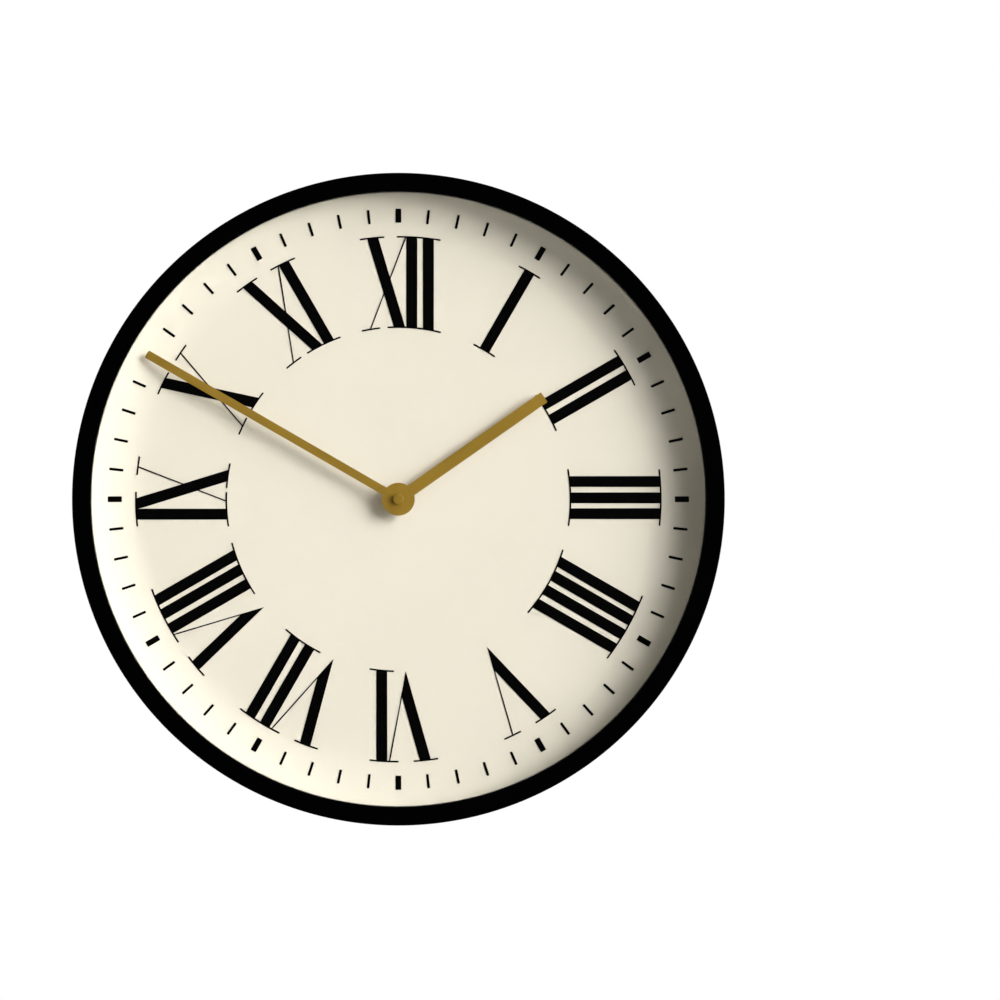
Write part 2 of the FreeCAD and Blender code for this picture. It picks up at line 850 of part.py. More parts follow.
def numeral_letters(d):
    """The letters of each hour's numeral, in mm across the numeral, outwards is up."""
    return {
        12: [letter_x(d, 0.9, -17.5, -18.1, 5.1), stroke_i(d, 8.9), stroke_i(d, 19.9)],
        1: [stroke_i(d, 0.0)],
        2: [stroke_i(d, -6.0), stroke_i(d, 5.0)],
        3: [stroke_i(d, -11.7), stroke_i(d, -0.9), stroke_i(d, 9.6)],
        4: [stroke_i(d, -17.4), stroke_i(d, -7.3), stroke_i(d, 3.2), stroke_i(d, 14.1)],
        5: [letter_v(d, -1.9, -16.3, 13.1)],
        6: [letter_v(d, -4.9, -22.0, 6.4), stroke_i(d, 11.0)],
        7: [letter_v(d, -15.7, -32.1, -2.8), stroke_i(d, 2.0), stroke_i(d, 13.4)],
        8: [letter_v(d, -17.4, -32.6, -2.8), stroke_i(d, 1.3), stroke_i(d, 12.0), stroke_i(d, 22.0)],
        9: [stroke_i(d, -9.9), letter_x(d, 15.5, -3.3, -1.4, 22.2)],
        10: [letter_x(d, 8.2, -11.4, -9.6, 12.0)],
        11: [letter_x(d, 4.0, -16.0, -14.7, 8.6), stroke_i(d, 12.4)],
    }


def serif_wedge(radius, centre, half):
    """The wedge from the dial's centre that a serif at that radius fills."""
    reach = WEDGE_REACH * radius
    first = math.asin((centre - half) / radius)
    last = math.asin((centre + half) / radius)
    return [(0.0, 0.0)] + [(reach * math.sin(turn), reach * math.cos(turn)) for turn in (first, last)]


def make_dial_numerals(doc, d):
    """Twelve printed Roman numerals, each with its foot towards the centre."""
    inner = d.numeral_inner.number
    outer = d.numeral_outer.number
    serif = d.serif_thickness.number
    body_film = ink_film(d, inner, outer)
    foot_film = ink_film(d, inner, inner + serif)
    top_film = ink_film(d, outer - serif, outer)
    back = d.dial_front.number - CUT_PAST
    front = d.dial_front.number + d.dial_rise.number
    solids = []
    for hour, letters in numeral_letters(d).items():
        inked = []
        for outlines, feet, tops in letters:
            inked += [body_film.common(prism(outline, back, front)) for outline in outlines]
            inked += [foot_film.common(prism(serif_wedge(inner, *foot), back, front)) for foot in feet]
            inked += [top_film.common(prism(serif_wedge(outer, *top), back, front)) for top in tops]
        numeral = inked[0]
        if len(inked) > 1:
            numeral = inked[0].multiFuse(inked[1:]).removeSplitter()
        numeral.rotate(Vector(), Vector(0, 1, 0), 30.0 * hour)
        solids += numeral.Solids
    return shaped(doc, "dial_numerals", Part.makeCompound(solids))


def make_dial_minute_track(doc, d):
    """Sixty printed marks, every fifth one broad."""
    inner = d.track_inner.number
    outer = d.track_outer.number
    film = ink_film(d, inner, outer)
    back = d.dial_front.number - CUT_PAST
    front = d.dial_front.number + d.dial_rise.number
    solids = []
    for minute in range(60):
        width = d.minute_mark_width.number
        if minute % 5 == 0:
            width = d.hour_mark_width.number
        half = width / 2
        low = inner - MARK_PAST
        high = outer + MARK_PAST
        corners = [(-half, low), (half, low), (half, high), (-half, high)]
        mark = film.common(prism(corners, back, front))
        mark.rotate(Vector(), Vector(0, 1, 0), 6.0 * minute)
        solids += mark.Solids
    return shaped(doc, "dial_minute_track", Part.makeCompound(solids))


# ---- Movement housing ----

def train_axes(d):
    """The (x, z) place of each arbor of the movement."""
    angle = d.intermediate_angle.number
    middle_x, middle_z = clock_point(d.intermediate_distance, angle)
    rotor_x, rotor_z = clock_point(d.intermediate_distance + d.rotor_distance, angle)
    zero = as_size(0)
    return SimpleNamespace(
        centre=(zero, zero),
        third=(d.third_axis_x, zero),
        intermediate=(middle_x, middle_z),
        rotor=(rotor_x, rotor_z),
        setting=(d.setting_axis_x, zero),
    )


def make_movement_case(doc, d):
    """Moulded box of the movement: battery bay below, wheel train and motor above."""
    body = start_body(doc, "movement_case")
    axes = train_axes(d)
    half = d.movement_half
    inner = half - d.movement_wall
    floor = d.movement_back + d.movement_wall
    depth = d.movement_joint - floor
    shell = block(body, -half, half, -half, half, d.movement_back, d.movement_joint - d.movement_back)
    round_edges(doc, body, shell, runs_forward, d.movement_corner)
    opening(body, -inner, inner, -inner, inner, d.movement_joint, depth)
    low = d.partition_top - d.partition_thickness
    block(body, -inner, inner, low, d.partition_top, floor, depth)
    door = d.battery_door_half
    opening(body, -door, door, -inner, low, floor, d.movement_wall + CUT_PAST)
    studs(body, BRIDGE_POSTS, d.post_radius, floor, d.bridge_back - floor)
    studs(body, BOARD_POSTS, d.post_radius, floor, d.board_back - floor)
    pivots = [(axes.third, d.third_arbor_radius), (axes.intermediate, d.thin_arbor)]
    pivots += [(axes.rotor, d.thin_arbor), (axes.centre, d.seconds_arbor_radius)]
    for spot, radius in pivots:
        holes(body, [spot], radius + d.pivot_play, floor, d.pivot_depth)
    holes(body, [axes.setting], d.setting_arbor_radius + d.pivot_play, floor, d.movement_wall + CUT_PAST)
    side = d.clip_height
    tall = d.catch_half_width
    reach = half + d.catch_proud
    root = half - d.catch_root
    for level in (-side, side):
        block(body, root, reach, level - tall, level + tall, d.catch_back, d.catch_length)
        block(body, -reach, -root, level - tall, level + tall, d.catch_back, d.catch_length)
    return body


def make_movement_cover(doc, d):
    """Front plate of the movement with its threaded tube and four snap clips."""
    body = start_body(doc, "movement_cover")
    axes = train_axes(d)
    half = d.movement_half
    plate = d.cover_plate_front - d.movement_joint
    front = block(body, -half, half, -half, half, d.movement_joint, plate)
    round_edges(doc, body, front, runs_forward, d.movement_corner)
    studs(body, [axes.centre], d.tube_radius, d.movement_joint, d.tube_front - d.movement_joint)
    holes(body, [axes.centre], d.tube_bore, d.tube_front, d.tube_front - d.movement_joint + CUT_PAST)
    pivot_front = d.movement_joint + d.pivot_depth
    for spot, radius in ((axes.third, d.third_arbor_radius), (axes.rotor, d.thin_arbor),
                         (axes.setting, d.setting_arbor_radius)):
        holes(body, [spot], radius + d.pivot_play, pivot_front, d.pivot_depth + CUT_PAST)
    near = half + d.clip_gap
    far = near + d.clip_thickness
    root = half - d.clip_root
    wide = d.clip_half_width
    leg = d.cover_plate_front - d.clip_back
    for level in (-d.clip_height, d.clip_height):
        for inside, outside in ((near, far), (-far, -near)):
            block(body, inside, outside, level - wide, level + wide, d.clip_back, leg)
        block(body, root, far, level - wide, level + wide, d.movement_joint, plate)
        block(body, -far, -root, level - wide, level + wide, d.movement_joint, plate)
    windows = start_sketch(body, "YZ_Plane")
    tall = d.catch_half_width + d.catch_play
    low = d.catch_back - d.catch_play
    top = d.catch_back + d.catch_length + d.catch_play
    for level in (-d.clip_height, d.clip_height):
        draw_box(windows, -top, -low, level - tall, level + tall)
    cut = pocket(body, windows, 4 * half)
    cut.Midplane = True
    return body


def make_train_bridge(doc, d):
    """Plate that carries the front pivots of the wheel train."""
    body = start_body(doc, "train_bridge")
    axes = train_axes(d)
    sketch = start_sketch(body, "XZ_Plane", d.bridge_back)
    draw_outline(sketch, BRIDGE_OUTLINE)
    thick = d.bridge_front - d.bridge_back
    pad(body, sketch, thick)
    pivots = [(axes.third, d.third_arbor_radius), (axes.intermediate, d.thin_arbor)]
    pivots += [(axes.rotor, d.thin_arbor), (axes.centre, d.seconds_arbor_radius)]
    pivots += [(axes.setting, d.setting_arbor_radius)]
    for spot, radius in pivots:
        holes(body, [spot], radius + d.pivot_play, d.bridge_front, thick + CUT_PAST)
    return body


def make_movement_fixings(doc, d):
    """The rubber washer, flat washer and nut that clamp the movement to the dial."""
    back = d.dial_front - d.dial_thickness
    rubber = ring(doc, "dial_washer", d.washer_inner, d.rubber_washer_outer, d.cover_plate_front, back)
    seat = d.dial_front + d.tube_washer_thickness
    flat = ring(doc, "tube_washer", d.washer_inner, d.tube_washer_outer, d.dial_front, seat)
    nut = start_body(doc, "tube_nut")
    sketch = start_sketch(nut, "XZ_Plane", seat)
    corner = d.tube_nut_flats / math.sqrt(3.0)
    draw_outline(sketch, [clock_point(corner, 60.0 * turn) for turn in range(6)])
    pad(nut, sketch, d.tube_nut_thickness)
    bore = d.tube_radius + d.tube_nut_play
    holes(nut, [(0, 0)], bore, seat + d.tube_nut_thickness, d.tube_nut_thickness + CUT_PAST)
    return [rubber, flat, nut]


# ---- Battery, motor and board ----

def make_battery_cell(doc, d):
    """AA cell lying across the bay, positive end to the right."""
    can = doc.addObject("Part::Cylinder", "cell_can")
    nub = doc.addObject("Part::Cylinder", "cell_nub")
    can.setExpression("Radius", d.cell_radius.formula)
    can.setExpression("Height", (d.cell_length - d.nub_length).formula)
    nub.setExpression("Radius", d.nub_radius.formula)
    nub.setExpression("Height", d.cell_length.formula)
    cell = doc.addObject("Part::Fuse", "battery_cell")
    cell.Label = "battery_cell"
    cell.Base = can
    cell.Tool = nub
    cell.Placement = FreeCAD.Placement(Vector(), FreeCAD.Rotation(Vector(0, 1, 0), 90))
    put_at(cell, d.cell_length / -2, d.cell_height, -d.cell_drop)
    return cell


def make_contact(doc, name, d, side):
    """A sprung contact strip against one end of the cell; side is 1 on the right, -1 on the left."""
    body = start_body(doc, name)
    sketch = start_sketch(body, "XZ_Plane", d.contact_back)
    wall = (d.movement_half - d.movement_wall) * side
    face = wall - d.contact_thickness * side
    touch = (d.cell_length / 2 + d.contact_gap) * side
    low = -d.cell_drop - d.contact_half_width
    high = d.contact_half_width - d.cell_drop
    bump = d.contact_bump_half
    tip = d.contact_tip_half
    outline = [(wall, low), (wall, high), (face, high), (face, bump - d.cell_drop)]
    outline += [(touch, tip - d.cell_drop), (touch, -tip - d.cell_drop), (face, -bump - d.cell_drop)]
    outline += [(face, low)]
    draw_outline(sketch, outline)
    pad(body, sketch, d.contact_length)
    return body


def make_stator(doc, d):
    """Soft iron plate that carries the coil's field round the rotor."""
    body = start_body(doc, "stator")
    rotor_x, rotor_z = train_axes(d).rotor
    sketch = start_sketch(body, "XZ_Plane", d.bridge_front)
    high = d.coil_line + d.core_half_width + d.stator_margin
    low = high - d.stator_depth
    yoke = d.coil_line - d.bobbin_flange - d.stator_coil_gap
    left = d.core_left + d.stator_arm
    right = d.core_right - d.stator_arm
    wide = d.lobe_half
    tip = d.lobe_tip_half
    foot = rotor_z - d.lobe_drop
    outline = [(d.core_left, high), (d.core_left, low), (rotor_x - wide, rotor_z)]
    outline += [(rotor_x - tip, foot), (rotor_x + tip, foot), (rotor_x + wide, rotor_z)]
    outline += [(d.core_right, low), (d.core_right, high), (right, high)]
    outline += [(right, yoke), (left, yoke), (left, high)]
    draw_outline(sketch, outline)
    pad(body, sketch, d.stator_thickness)
    front = d.bridge_front + d.stator_thickness
    holes(body, [(rotor_x, rotor_z)], d.stator_bore, front, d.stator_thickness + CUT_PAST)
    return body


def make_coil(doc, d):
    """The coil's iron core, its moulded bobbin and its winding."""
    core_back = d.bridge_front + d.stator_thickness
    core = start_body(doc, "coil_core")
    low = d.coil_line - d.core_half_width
    high = d.coil_line + d.core_half_width
    block(core, d.core_left, d.core_right, low, high, core_back, d.stator_thickness)
    axis_height = core_back + d.stator_thickness / 2
    bobbin = start_body(doc, "coil_bobbin")
    sketch = start_sketch(bobbin, "XY_Plane")
    left = d.bobbin_left
    right = d.bobbin_right
    wall = d.bobbin_wall
    outline = [(left, 0), (right, 0), (right, d.bobbin_flange), (right - wall, d.bobbin_flange)]
    outline += [(right - wall, d.bobbin_tube), (left + wall, d.bobbin_tube)]
    outline += [(left + wall, d.bobbin_flange), (left, d.bobbin_flange)]
    draw_outline(sketch, outline)
    revolve(bobbin, sketch, "H_Axis")
    slot = start_sketch(bobbin, "YZ_Plane")
    half = d.stator_thickness / 2
    draw_box(slot, -half, half, -d.core_half_width, d.core_half_width)
    pocket(bobbin, slot, 4 * right).Midplane = True
    winding = start_body(doc, "coil_winding")
    sketch = start_sketch(winding, "XY_Plane")
    draw_box(sketch, left + wall, right - wall, d.bobbin_tube, d.winding_radius)
    revolve(winding, sketch, "H_Axis")
    for node in (bobbin, winding):
        put_at(node, 0, axis_height, d.coil_line)
    return [core, bobbin, winding]


def make_board_parts(doc, d):
    """The circuit board, its quartz crystal and its bonded chip under resin."""
    board = start_body(doc, "circuit_board")
    block(board, d.board_left, d.board_right, d.board_low, d.board_high, d.board_back, d.board_thickness)
    front = d.board_back + d.board_thickness
    crystal = doc.addObject("Part::Cylinder", "quartz_crystal")
    crystal.Label = "quartz_crystal"
    crystal.setExpression("Radius", d.crystal_radius.formula)
    crystal.setExpression("Height", d.crystal_length.formula)
    crystal.Placement = FreeCAD.Placement(Vector(), FreeCAD.Rotation(Vector(0, 1, 0), 90))
    put_at(crystal, d.crystal_left, front + d.crystal_radius, d.crystal_line)
    chip = doc.addObject("Part::Cone", "controller_chip")
    chip.Label = "controller_chip"
    chip.setExpression("Radius1", d.chip_radius.formula)
    chip.setExpression("Radius2", d.chip_top_radius.formula)
    chip.setExpression("Height", d.chip_height.formula)
    chip.Placement = FreeCAD.Placement(Vector(), FreeCAD.Rotation(Vector(1, 0, 0), 90))
    put_at(chip, d.chip_side, front, d.chip_line)
    return [board, crystal, chip]


# ---- Wheels ----

def tooth_half_angle(radius, base, teeth, pitch, thinning):
    """Half the angle that a tooth fills at a radius, on involute flanks."""
    at_pitch = math.tan(PRESSURE_ANGLE) - PRESSURE_ANGLE
    angle = math.acos(min(base / max(radius, base), 1.0))
    return math.pi / (2 * teeth) - thinning / pitch + at_pitch - (math.tan(angle) - angle)


def toothed_disc(teeth, module, back, thickness, phase):
    """A spur wheel with one tooth centred on the clock angle called phase."""
    pitch = module * teeth / 2
    base = pitch * math.cos(PRESSURE_ANGLE)
    root = pitch - DEDENDUM * module
    tip = pitch + ADDENDUM * module
    foot = max(root, base)
    levels = [root, foot, (foot + tip) / 2, tip] if foot > root else [root, (root + tip) / 2, tip]
    thinning = TOOTH_THINNING * module
    flank = []
    for radius in levels:
        half = tooth_half_angle(radius, base, teeth, pitch, thinning)
        flank.append((radius, half * ROOT_RELIEF if radius < base else half))
    points = []
    for tooth in range(teeth):
        middle = math.radians(phase) + 2 * math.pi * tooth / teeth
        points += [(radius, middle - half) for radius, half in flank]
        points += [(radius, middle + half) for radius, half in reversed(flank)]
    corners = [(radius * math.sin(turn), radius * math.cos(turn)) for radius, turn in points]
    return prism(corners, back, back + thickness)


def shaft(radius, back, front):
    """A plain round shaft about the local axis."""
    return Part.makeCylinder(float(radius), float(front) - float(back), Vector(0, -float(back), 0),
                             Vector(0, -1, 0))


def fused(solids, bore=None):
    """Solids joined into one, with an optional bore all the way through."""
    whole = solids[0].multiFuse(solids[1:]).removeSplitter() if len(solids) > 1 else solids[0]
    if bore is not None:
        whole = whole.cut(shaft(bore, 0.0, DRILL_LENGTH))
    return whole.Solids[0]


def placed(doc, name, shape, spot):
    """A node worked out in code about its own axis, moved to that axis's place."""
    node = shaped(doc, name, shape)
    put_at(node, spot[0], 0, spot[1])
    return node


def clock_angle(start, end):
    """The clock angle of the line from one (x, z) place to another."""
    across = float(end[0]) - float(start[0])
    up = float(end[1]) - float(start[1])
    return math.degrees(math.atan2(across, up))


def meshed(driver, driven, teeth):
    """The phases that put a tooth of the driver in a gap of the driven wheel."""
    toward = clock_angle(driver, driven)
    return toward, toward + 180.0 + 180.0 / teeth


def make_going_train(doc, d):
    """Rotor to centre wheel: thirty turns a minute brought down to one an hour."""
    axes = train_axes(d)
    thin = d.thin_wheel.number
    one = d.level_one.number
    two = d.level_two.number
    four = d.level_four.number
    train = d.train_module.number
    seconds = d.seconds_module.number
    centre_module = 2 * abs(d.third_axis_x.number) / (THIRD_PINION + CENTRE_TEETH)
    arbor_back = d.arbor_back.number
    rotor_phase, wheel_phase = meshed(axes.rotor, axes.intermediate, MIDDLE_TEETH)
    pinion_phase, sixty_phase = meshed(axes.intermediate, axes.centre, SECONDS_TEETH)
    ten_phase, third_phase = meshed(axes.centre, axes.third, THIRD_TEETH)
    third_pinion, centre_phase = meshed(axes.third, axes.centre, CENTRE_TEETH)

    rotor = [toothed_disc(ROTOR_TEETH, train, two, thin, rotor_phase)]
    rotor += [shaft(d.thin_arbor, arbor_back, d.long_arbor_front)]
    magnet_front = d.magnet_back + d.magnet_length
    magnet = shaft(d.magnet_radius, d.magnet_back, magnet_front)
    magnet = magnet.cut(shaft(d.thin_arbor, arbor_back, d.long_arbor_front))

    middle = [toothed_disc(MIDDLE_TEETH, train, two, thin, wheel_phase)]
    middle += [toothed_disc(MIDDLE_PINION, train, one, thin, pinion_phase)]
    middle += [shaft(d.intermediate_hub, one + thin, two)]
    middle += [shaft(d.thin_arbor, arbor_back, d.bridge_front)]

    wheel = [toothed_disc(SECONDS_TEETH, train, one, thin, sixty_phase)]
    wheel += [shaft(d.seconds_hub, one + thin, two)]
    wheel += [toothed_disc(SECONDS_PINION, seconds, two, thin, ten_phase)]

    third = [toothed_disc(THIRD_TEETH, seconds, two, thin, third_phase)]
    third += [toothed_disc(THIRD_PINION, centre_module, four, thin, third_pinion)]
    third += [shaft(d.third_arbor_radius, arbor_back, d.long_arbor_front)]

    centre = [toothed_disc(CENTRE_TEETH, centre_module, four, thin, centre_phase)]
    arbor = shaft(d.seconds_arbor_radius, arbor_back, d.seconds_arbor_front)
    return [
        placed(doc, "rotor_pinion", fused(rotor), axes.rotor),
        placed(doc, "rotor_magnet", fused([magnet]), axes.rotor),
        placed(doc, "intermediate_wheel", fused(middle), axes.intermediate),
        placed(doc, "seconds_wheel", fused(wheel, d.seconds_arbor_radius), axes.centre),
        placed(doc, "seconds_arbor", arbor, axes.centre),
        placed(doc, "third_wheel", fused(third), axes.third),
        placed(doc, "centre_wheel", fused(centre, d.centre_wheel_bore), axes.centre),
    ]


def double_flat(d, play):
    """The round bar with two flats on which the minute hand sits."""
    back = d.minute_hand_back.number
    long_side = 4 * d.thread_radius.number
    half = d.thread_flat_half.number + play
    box = Part.makeBox(2 * half, d.hand_thickness.number, long_side,
                       Vector(-half, -back - d.hand_thickness.number, -long_side / 2))
    bar = shaft(d.thread_radius.number + play, back, back + d.hand_thickness.number).common(box)
    bar.rotate(Vector(), Vector(0, 1, 0), d.minute_hand_angle.number)
    return bar


def make_motion_work(doc, d):
    """Minute arbor, hour wheel and setting wheel: twelve turns to one."""
    axes = train_axes(d)
    thick = d.thick_wheel.number
    five = d.level_five.number
    six = d.level_six.number
    cannon_phase, setting_phase = meshed(axes.centre, axes.setting, SETTING_TEETH)
    pinion_phase, hour_phase = meshed(axes.setting, axes.centre, HOUR_TEETH)

    minute = [shaft(d.minute_arbor_tail, d.minute_arbor_back, d.clutch_seat)]
    minute += [shaft(d.minute_arbor_radius, d.clutch_seat, d.minute_hand_back)]
    minute += [toothed_disc(CANNON_TEETH, d.minute_module.number, five, thick, cannon_phase)]
    minute += [double_flat(d, 0.0)]
    thread_back = d.minute_hand_back + d.hand_thickness
    minute += [shaft(d.thread_radius, thread_back, d.thread_front)]

    setting = [toothed_disc(SETTING_TEETH, d.minute_module.number, five, thick, setting_phase)]
    setting += [shaft(d.setting_hub, five + thick, six)]
    setting += [toothed_disc(SETTING_PINION, d.hour_module.number, six, thick, pinion_phase)]

    hour = [toothed_disc(HOUR_TEETH, d.hour_module.number, six, thick, hour_phase)]
    hour += [shaft(d.hour_shoulder_radius, six + thick, d.hour_shoulder_front)]
    pipe_front = d.hour_hand_back + d.hand_thickness
    hour += [shaft(d.hour_pipe_radius, d.hour_shoulder_front, pipe_front)]
    return [
        placed(doc, "minute_arbor", fused(minute, d.minute_arbor_bore), axes.centre),
        placed(doc, "setting_wheel", fused(setting, d.setting_arbor_radius), axes.setting),
        placed(doc, "hour_wheel", fused(hour, d.hour_pipe_bore), axes.centre),
    ]


def make_clutch_spring(doc, d):
    """Dished washer whose friction carries the minute arbor round with the centre wheel."""
    inner = d.minute_arbor_radius
    outer = d.clutch_radius
    seat = d.level_five
    edge = d.clutch_seat - d.clutch_lift
    thick = d.clutch_thickness
    outline = [(inner, seat - thick), (outer, edge), (outer, edge + thick), (inner, seat)]
    return turned(doc, "clutch_spring", outline)


def make_set_knob(doc, d):
    """Knurled knob behind the movement that sets the hands."""
    arbor = d.setting_arbor_radius
    outline = [(0, d.knob_back), (d.knob_radius, d.knob_back), (d.knob_radius, d.knob_front)]
    outline += [(arbor, d.knob_front), (arbor, d.long_arbor_front), (0, d.long_arbor_front)]
    body = turned(doc, "set_knob", outline)
    spots = [clock_point(d.knob_radius, 360.0 * turn / KNURLS) for turn in range(KNURLS)]
    holes(body, spots, d.knurl_radius, d.knob_front, d.knob_front - d.knob_back + CUT_PAST)
    put_at(body, d.setting_axis_x, 0, 0)
    return body


# ---- Hands ----

def make_hand(doc, name, d, back, length, half):
    """A flat blade of one width, square at its tip, on a round hub; it points up."""
    body = start_body(doc, name)
    sketch = start_sketch(body, "XZ_Plane", back)
    draw_outline(sketch, [(-half, 0), (half, 0), (half, length), (-half, length)])
    pad(body, sketch, d.hand_thickness)
    studs(body, [(0, 0)], d.hub_radius, back, d.hand_thickness)
    return body


def turn_hand(hand, angle):
    """Turn a hand to a clock angle bound to a size."""
    hand.Placement = FreeCAD.Placement(Vector(), FreeCAD.Rotation(Vector(0, 1, 0), angle.number))
    hand.setExpression("Placement.Rotation.Angle", angle.formula)


def make_hour_hand(doc, d):
    """Hour hand, riveted to a collet."""
    body = make_hand(doc, "hour_hand", d, d.hour_hand_back, d.hour_hand_length, d.hour_hand_half)
    front = d.hour_hand_back + d.hand_thickness
    holes(body, [(0, 0)], d.collet_neck, front, d.hand_thickness + CUT_PAST)
    turn_hand(body, d.hour_hand_angle)
    return body


def make_minute_hand(doc, d):
    """Minute hand with a hole that fits the arbor's two flats."""
    body = make_hand(doc, "minute_hand", d, d.minute_hand_back, d.minute_hand_length,
                     d.minute_hand_half)
    front = d.minute_hand_back + d.hand_thickness
    flat = d.thread_flat_half
    tall = square_root(d.thread_radius * d.thread_radius - flat * flat)
    sketch = start_sketch(body, "XZ_Plane", front)
    draw_outline(sketch, [(flat, -tall), (flat, tall, d.thread_radius), (-flat, tall),
                          (-flat, -tall, d.thread_radius)])
    pocket(body, sketch, d.hand_thickness + CUT_PAST)
    turn_hand(body, d.minute_hand_angle)
    return body


def make_hour_hand_collet(doc, d):
    """Flanged brass collet that presses on the hour wheel's pipe."""
    pipe = d.hour_pipe_radius
    front = d.hour_hand_back + d.hand_thickness
    outline = [(pipe, d.collet_back), (d.collet_radius, d.collet_back)]
    outline += [(d.collet_radius, d.hour_hand_back), (d.collet_neck, d.hour_hand_back)]
    outline += [(d.collet_neck, front), (pipe, front)]
    return turned(doc, "hour_hand_collet", outline)


def make_hand_nut(doc, d):
    """Round cap nut that holds the minute hand on its arbor."""
    back = d.minute_hand_back + d.hand_thickness
    front = d.hand_nut_front
    bevel = d.hand_nut_bevel
    outline = [(d.thread_radius, back), (d.hand_nut_radius, back), (d.hand_nut_radius, front - bevel)]
    outline += [(d.hand_nut_radius - bevel, front), (0, front), (0, d.hand_nut_bore_front)]
    outline += [(d.thread_radius, d.hand_nut_bore_front)]
    return turned(doc, "hand_nut", outline)


# ---- Whole clock ----

def make_nodes(doc, d):
    """Every sub-part of the clock."""
    nodes = [
        make_case_drum(doc, d),
        make_lens_gasket(doc, d),
        make_glass_lens(doc, d),
        make_spacer_ring(doc, d),
        make_dial(doc, d),
        make_dial_numerals(doc, d),
        make_dial_minute_track(doc, d),
        make_back_cover(doc, d),
        make_battery_well(doc, d),
        make_hanger_plate(doc, d),
        make_movement_case(doc, d),
        make_movement_cover(doc, d),
        make_train_bridge(doc, d),
        make_battery_cell(doc, d),
        make_contact(doc, "positive_contact", d, 1),
        make_contact(doc, "negative_contact", d, -1),
        make_stator(doc, d),
        make_clutch_spring(doc, d),
        make_set_knob(doc, d),
        make_hour_hand(doc, d),
        make_hour_hand_collet(doc, d),
        make_minute_hand(doc, d),
        make_hand_nut(doc, d),
    ]
    nodes += make_case_screws(doc, d)
    nodes += make_movement_fixings(doc, d)
    nodes += make_coil(doc, d)
    nodes += make_board_parts(doc, d)
    nodes += make_going_train(doc, d)
    nodes += make_motion_work(doc, d)
    return nodes


def check_document(doc, nodes):
    """Stop if any object failed or any sub-part's shape is missing or not valid."""
    for item in doc.Objects:
        if "Invalid" in item.State or "Error" in item.State:
            raise RuntimeError("failed object: " + item.Name)
    for node in nodes:
        if node.Shape.isNull() or not node.Shape.isValid() or not node.Shape.Solids:
            raise RuntimeError("bad shape: " + node.Label)


def main():
    """Build the clock and write one STEP file for each sub-part."""
    doc = FreeCAD.newDocument("wall_clock")
    d = fill_sheet(doc)
    nodes = make_nodes(doc, d)
    doc.recompute()
    check_document(doc, nodes)
    os.makedirs("parts", exist_ok=True)
    for node in nodes:
        node.Shape.exportStep("parts/" + node.Label + ".step")
        print(node.Label, len(node.Shape.Solids), "solids,", round(node.Shape.Volume, 1), "mm3")


main()
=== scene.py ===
import json
import math

import bmesh
import bpy
from mathutils import Matrix, Vector


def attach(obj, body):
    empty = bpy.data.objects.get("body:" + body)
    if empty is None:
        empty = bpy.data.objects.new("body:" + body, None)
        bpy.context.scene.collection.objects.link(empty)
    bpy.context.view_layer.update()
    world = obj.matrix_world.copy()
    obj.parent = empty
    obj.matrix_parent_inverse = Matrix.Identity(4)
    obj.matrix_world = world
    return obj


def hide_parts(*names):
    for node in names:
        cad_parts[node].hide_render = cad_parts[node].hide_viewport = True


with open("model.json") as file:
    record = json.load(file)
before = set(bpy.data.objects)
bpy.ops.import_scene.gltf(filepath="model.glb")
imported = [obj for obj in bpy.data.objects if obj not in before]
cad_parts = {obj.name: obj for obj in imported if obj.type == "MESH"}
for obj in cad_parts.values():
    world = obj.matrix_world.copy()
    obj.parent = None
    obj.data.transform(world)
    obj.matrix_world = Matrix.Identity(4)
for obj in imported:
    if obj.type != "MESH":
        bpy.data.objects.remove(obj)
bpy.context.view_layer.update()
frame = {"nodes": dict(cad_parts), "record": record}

# Round wall clock. Metres; +Z up, +X right from the front, the dial faces -Y.
# A "height" is a distance forward of the wall, towards -Y, in millimetres, as radii are.
# A "clock angle" is clockwise from twelve, seen from the front.

MM = 0.001
CASE_R, CASE_DEPTH, CASE_WALL = 215.0, 85.0, 2.5
RIM_R, RIM_THICK = 202.5, 3.0
SCREW_CIRCLE_R = 209.5
DIAL_FRONT, DIAL_RISE, DIAL_FLAT_R, DIAL_LIP_R, DIAL_THICK = 56.0, 12.0, 168.0, 206.0, 1.0
DIAL_HOLE_R, EAR_CIRCLE_R, EAR_R, EAR_HOLE_R = 4.2, 208.2, 4.0, 1.6
GLASS_R, GLASS_BACK, GLASS_FRONT = 206.0, 79.0, 81.0
HUB_R, HAND_EDGE = 10.85, 0.1
HOUR_BACK, HOUR_FRONT, HOUR_LENGTH, HOUR_HALF_WIDTH, HOUR_HOLE_R = 64.2, 65.0, 117.8, 3.9, 3.4
MINUTE_BACK, MINUTE_FRONT, MINUTE_LENGTH, MINUTE_HALF_WIDTH = 67.6, 68.4, 191.9, 2.76
HOUR_AT_REST, MINUTE_AT_REST = 55.0, 300.0
THREAD_R, THREAD_HALF_FLAT = 1.3, 1.0
NUT_R, NUT_FRONT, NUT_FLOOR = 3.5, 72.2, 71.2
CELL_HEIGHT, CELL_DROP, CELL_HALF = 45.4, 19.2, 25.25
INK_SPREAD = 0.0002
SHARP_FROM = math.radians(30.0)

CAMERA_DISTANCE, CAMERA_LENS, CAMERA_SHIFT = 4.085, 218.7, (0.1016, -0.0008)
FLOOR_R, FLOOR_Z = 6.4, -0.9
# Name, direction the light comes from, strength, and width in degrees.
SUNS = (
    ("key", (0.6485, -0.7193, 0.2490), 1.74, 28.0),
    ("low_fill", (-0.1, -0.14, -0.99), 0.38, 16.0),
    ("back_fill", (-0.45, 0.75, 0.55), 0.8, 40.0),
    ("top_fill", (0.1, 0.45, 1.0), 0.85, 40.0),
)


# ---- camera, lights and floor ----

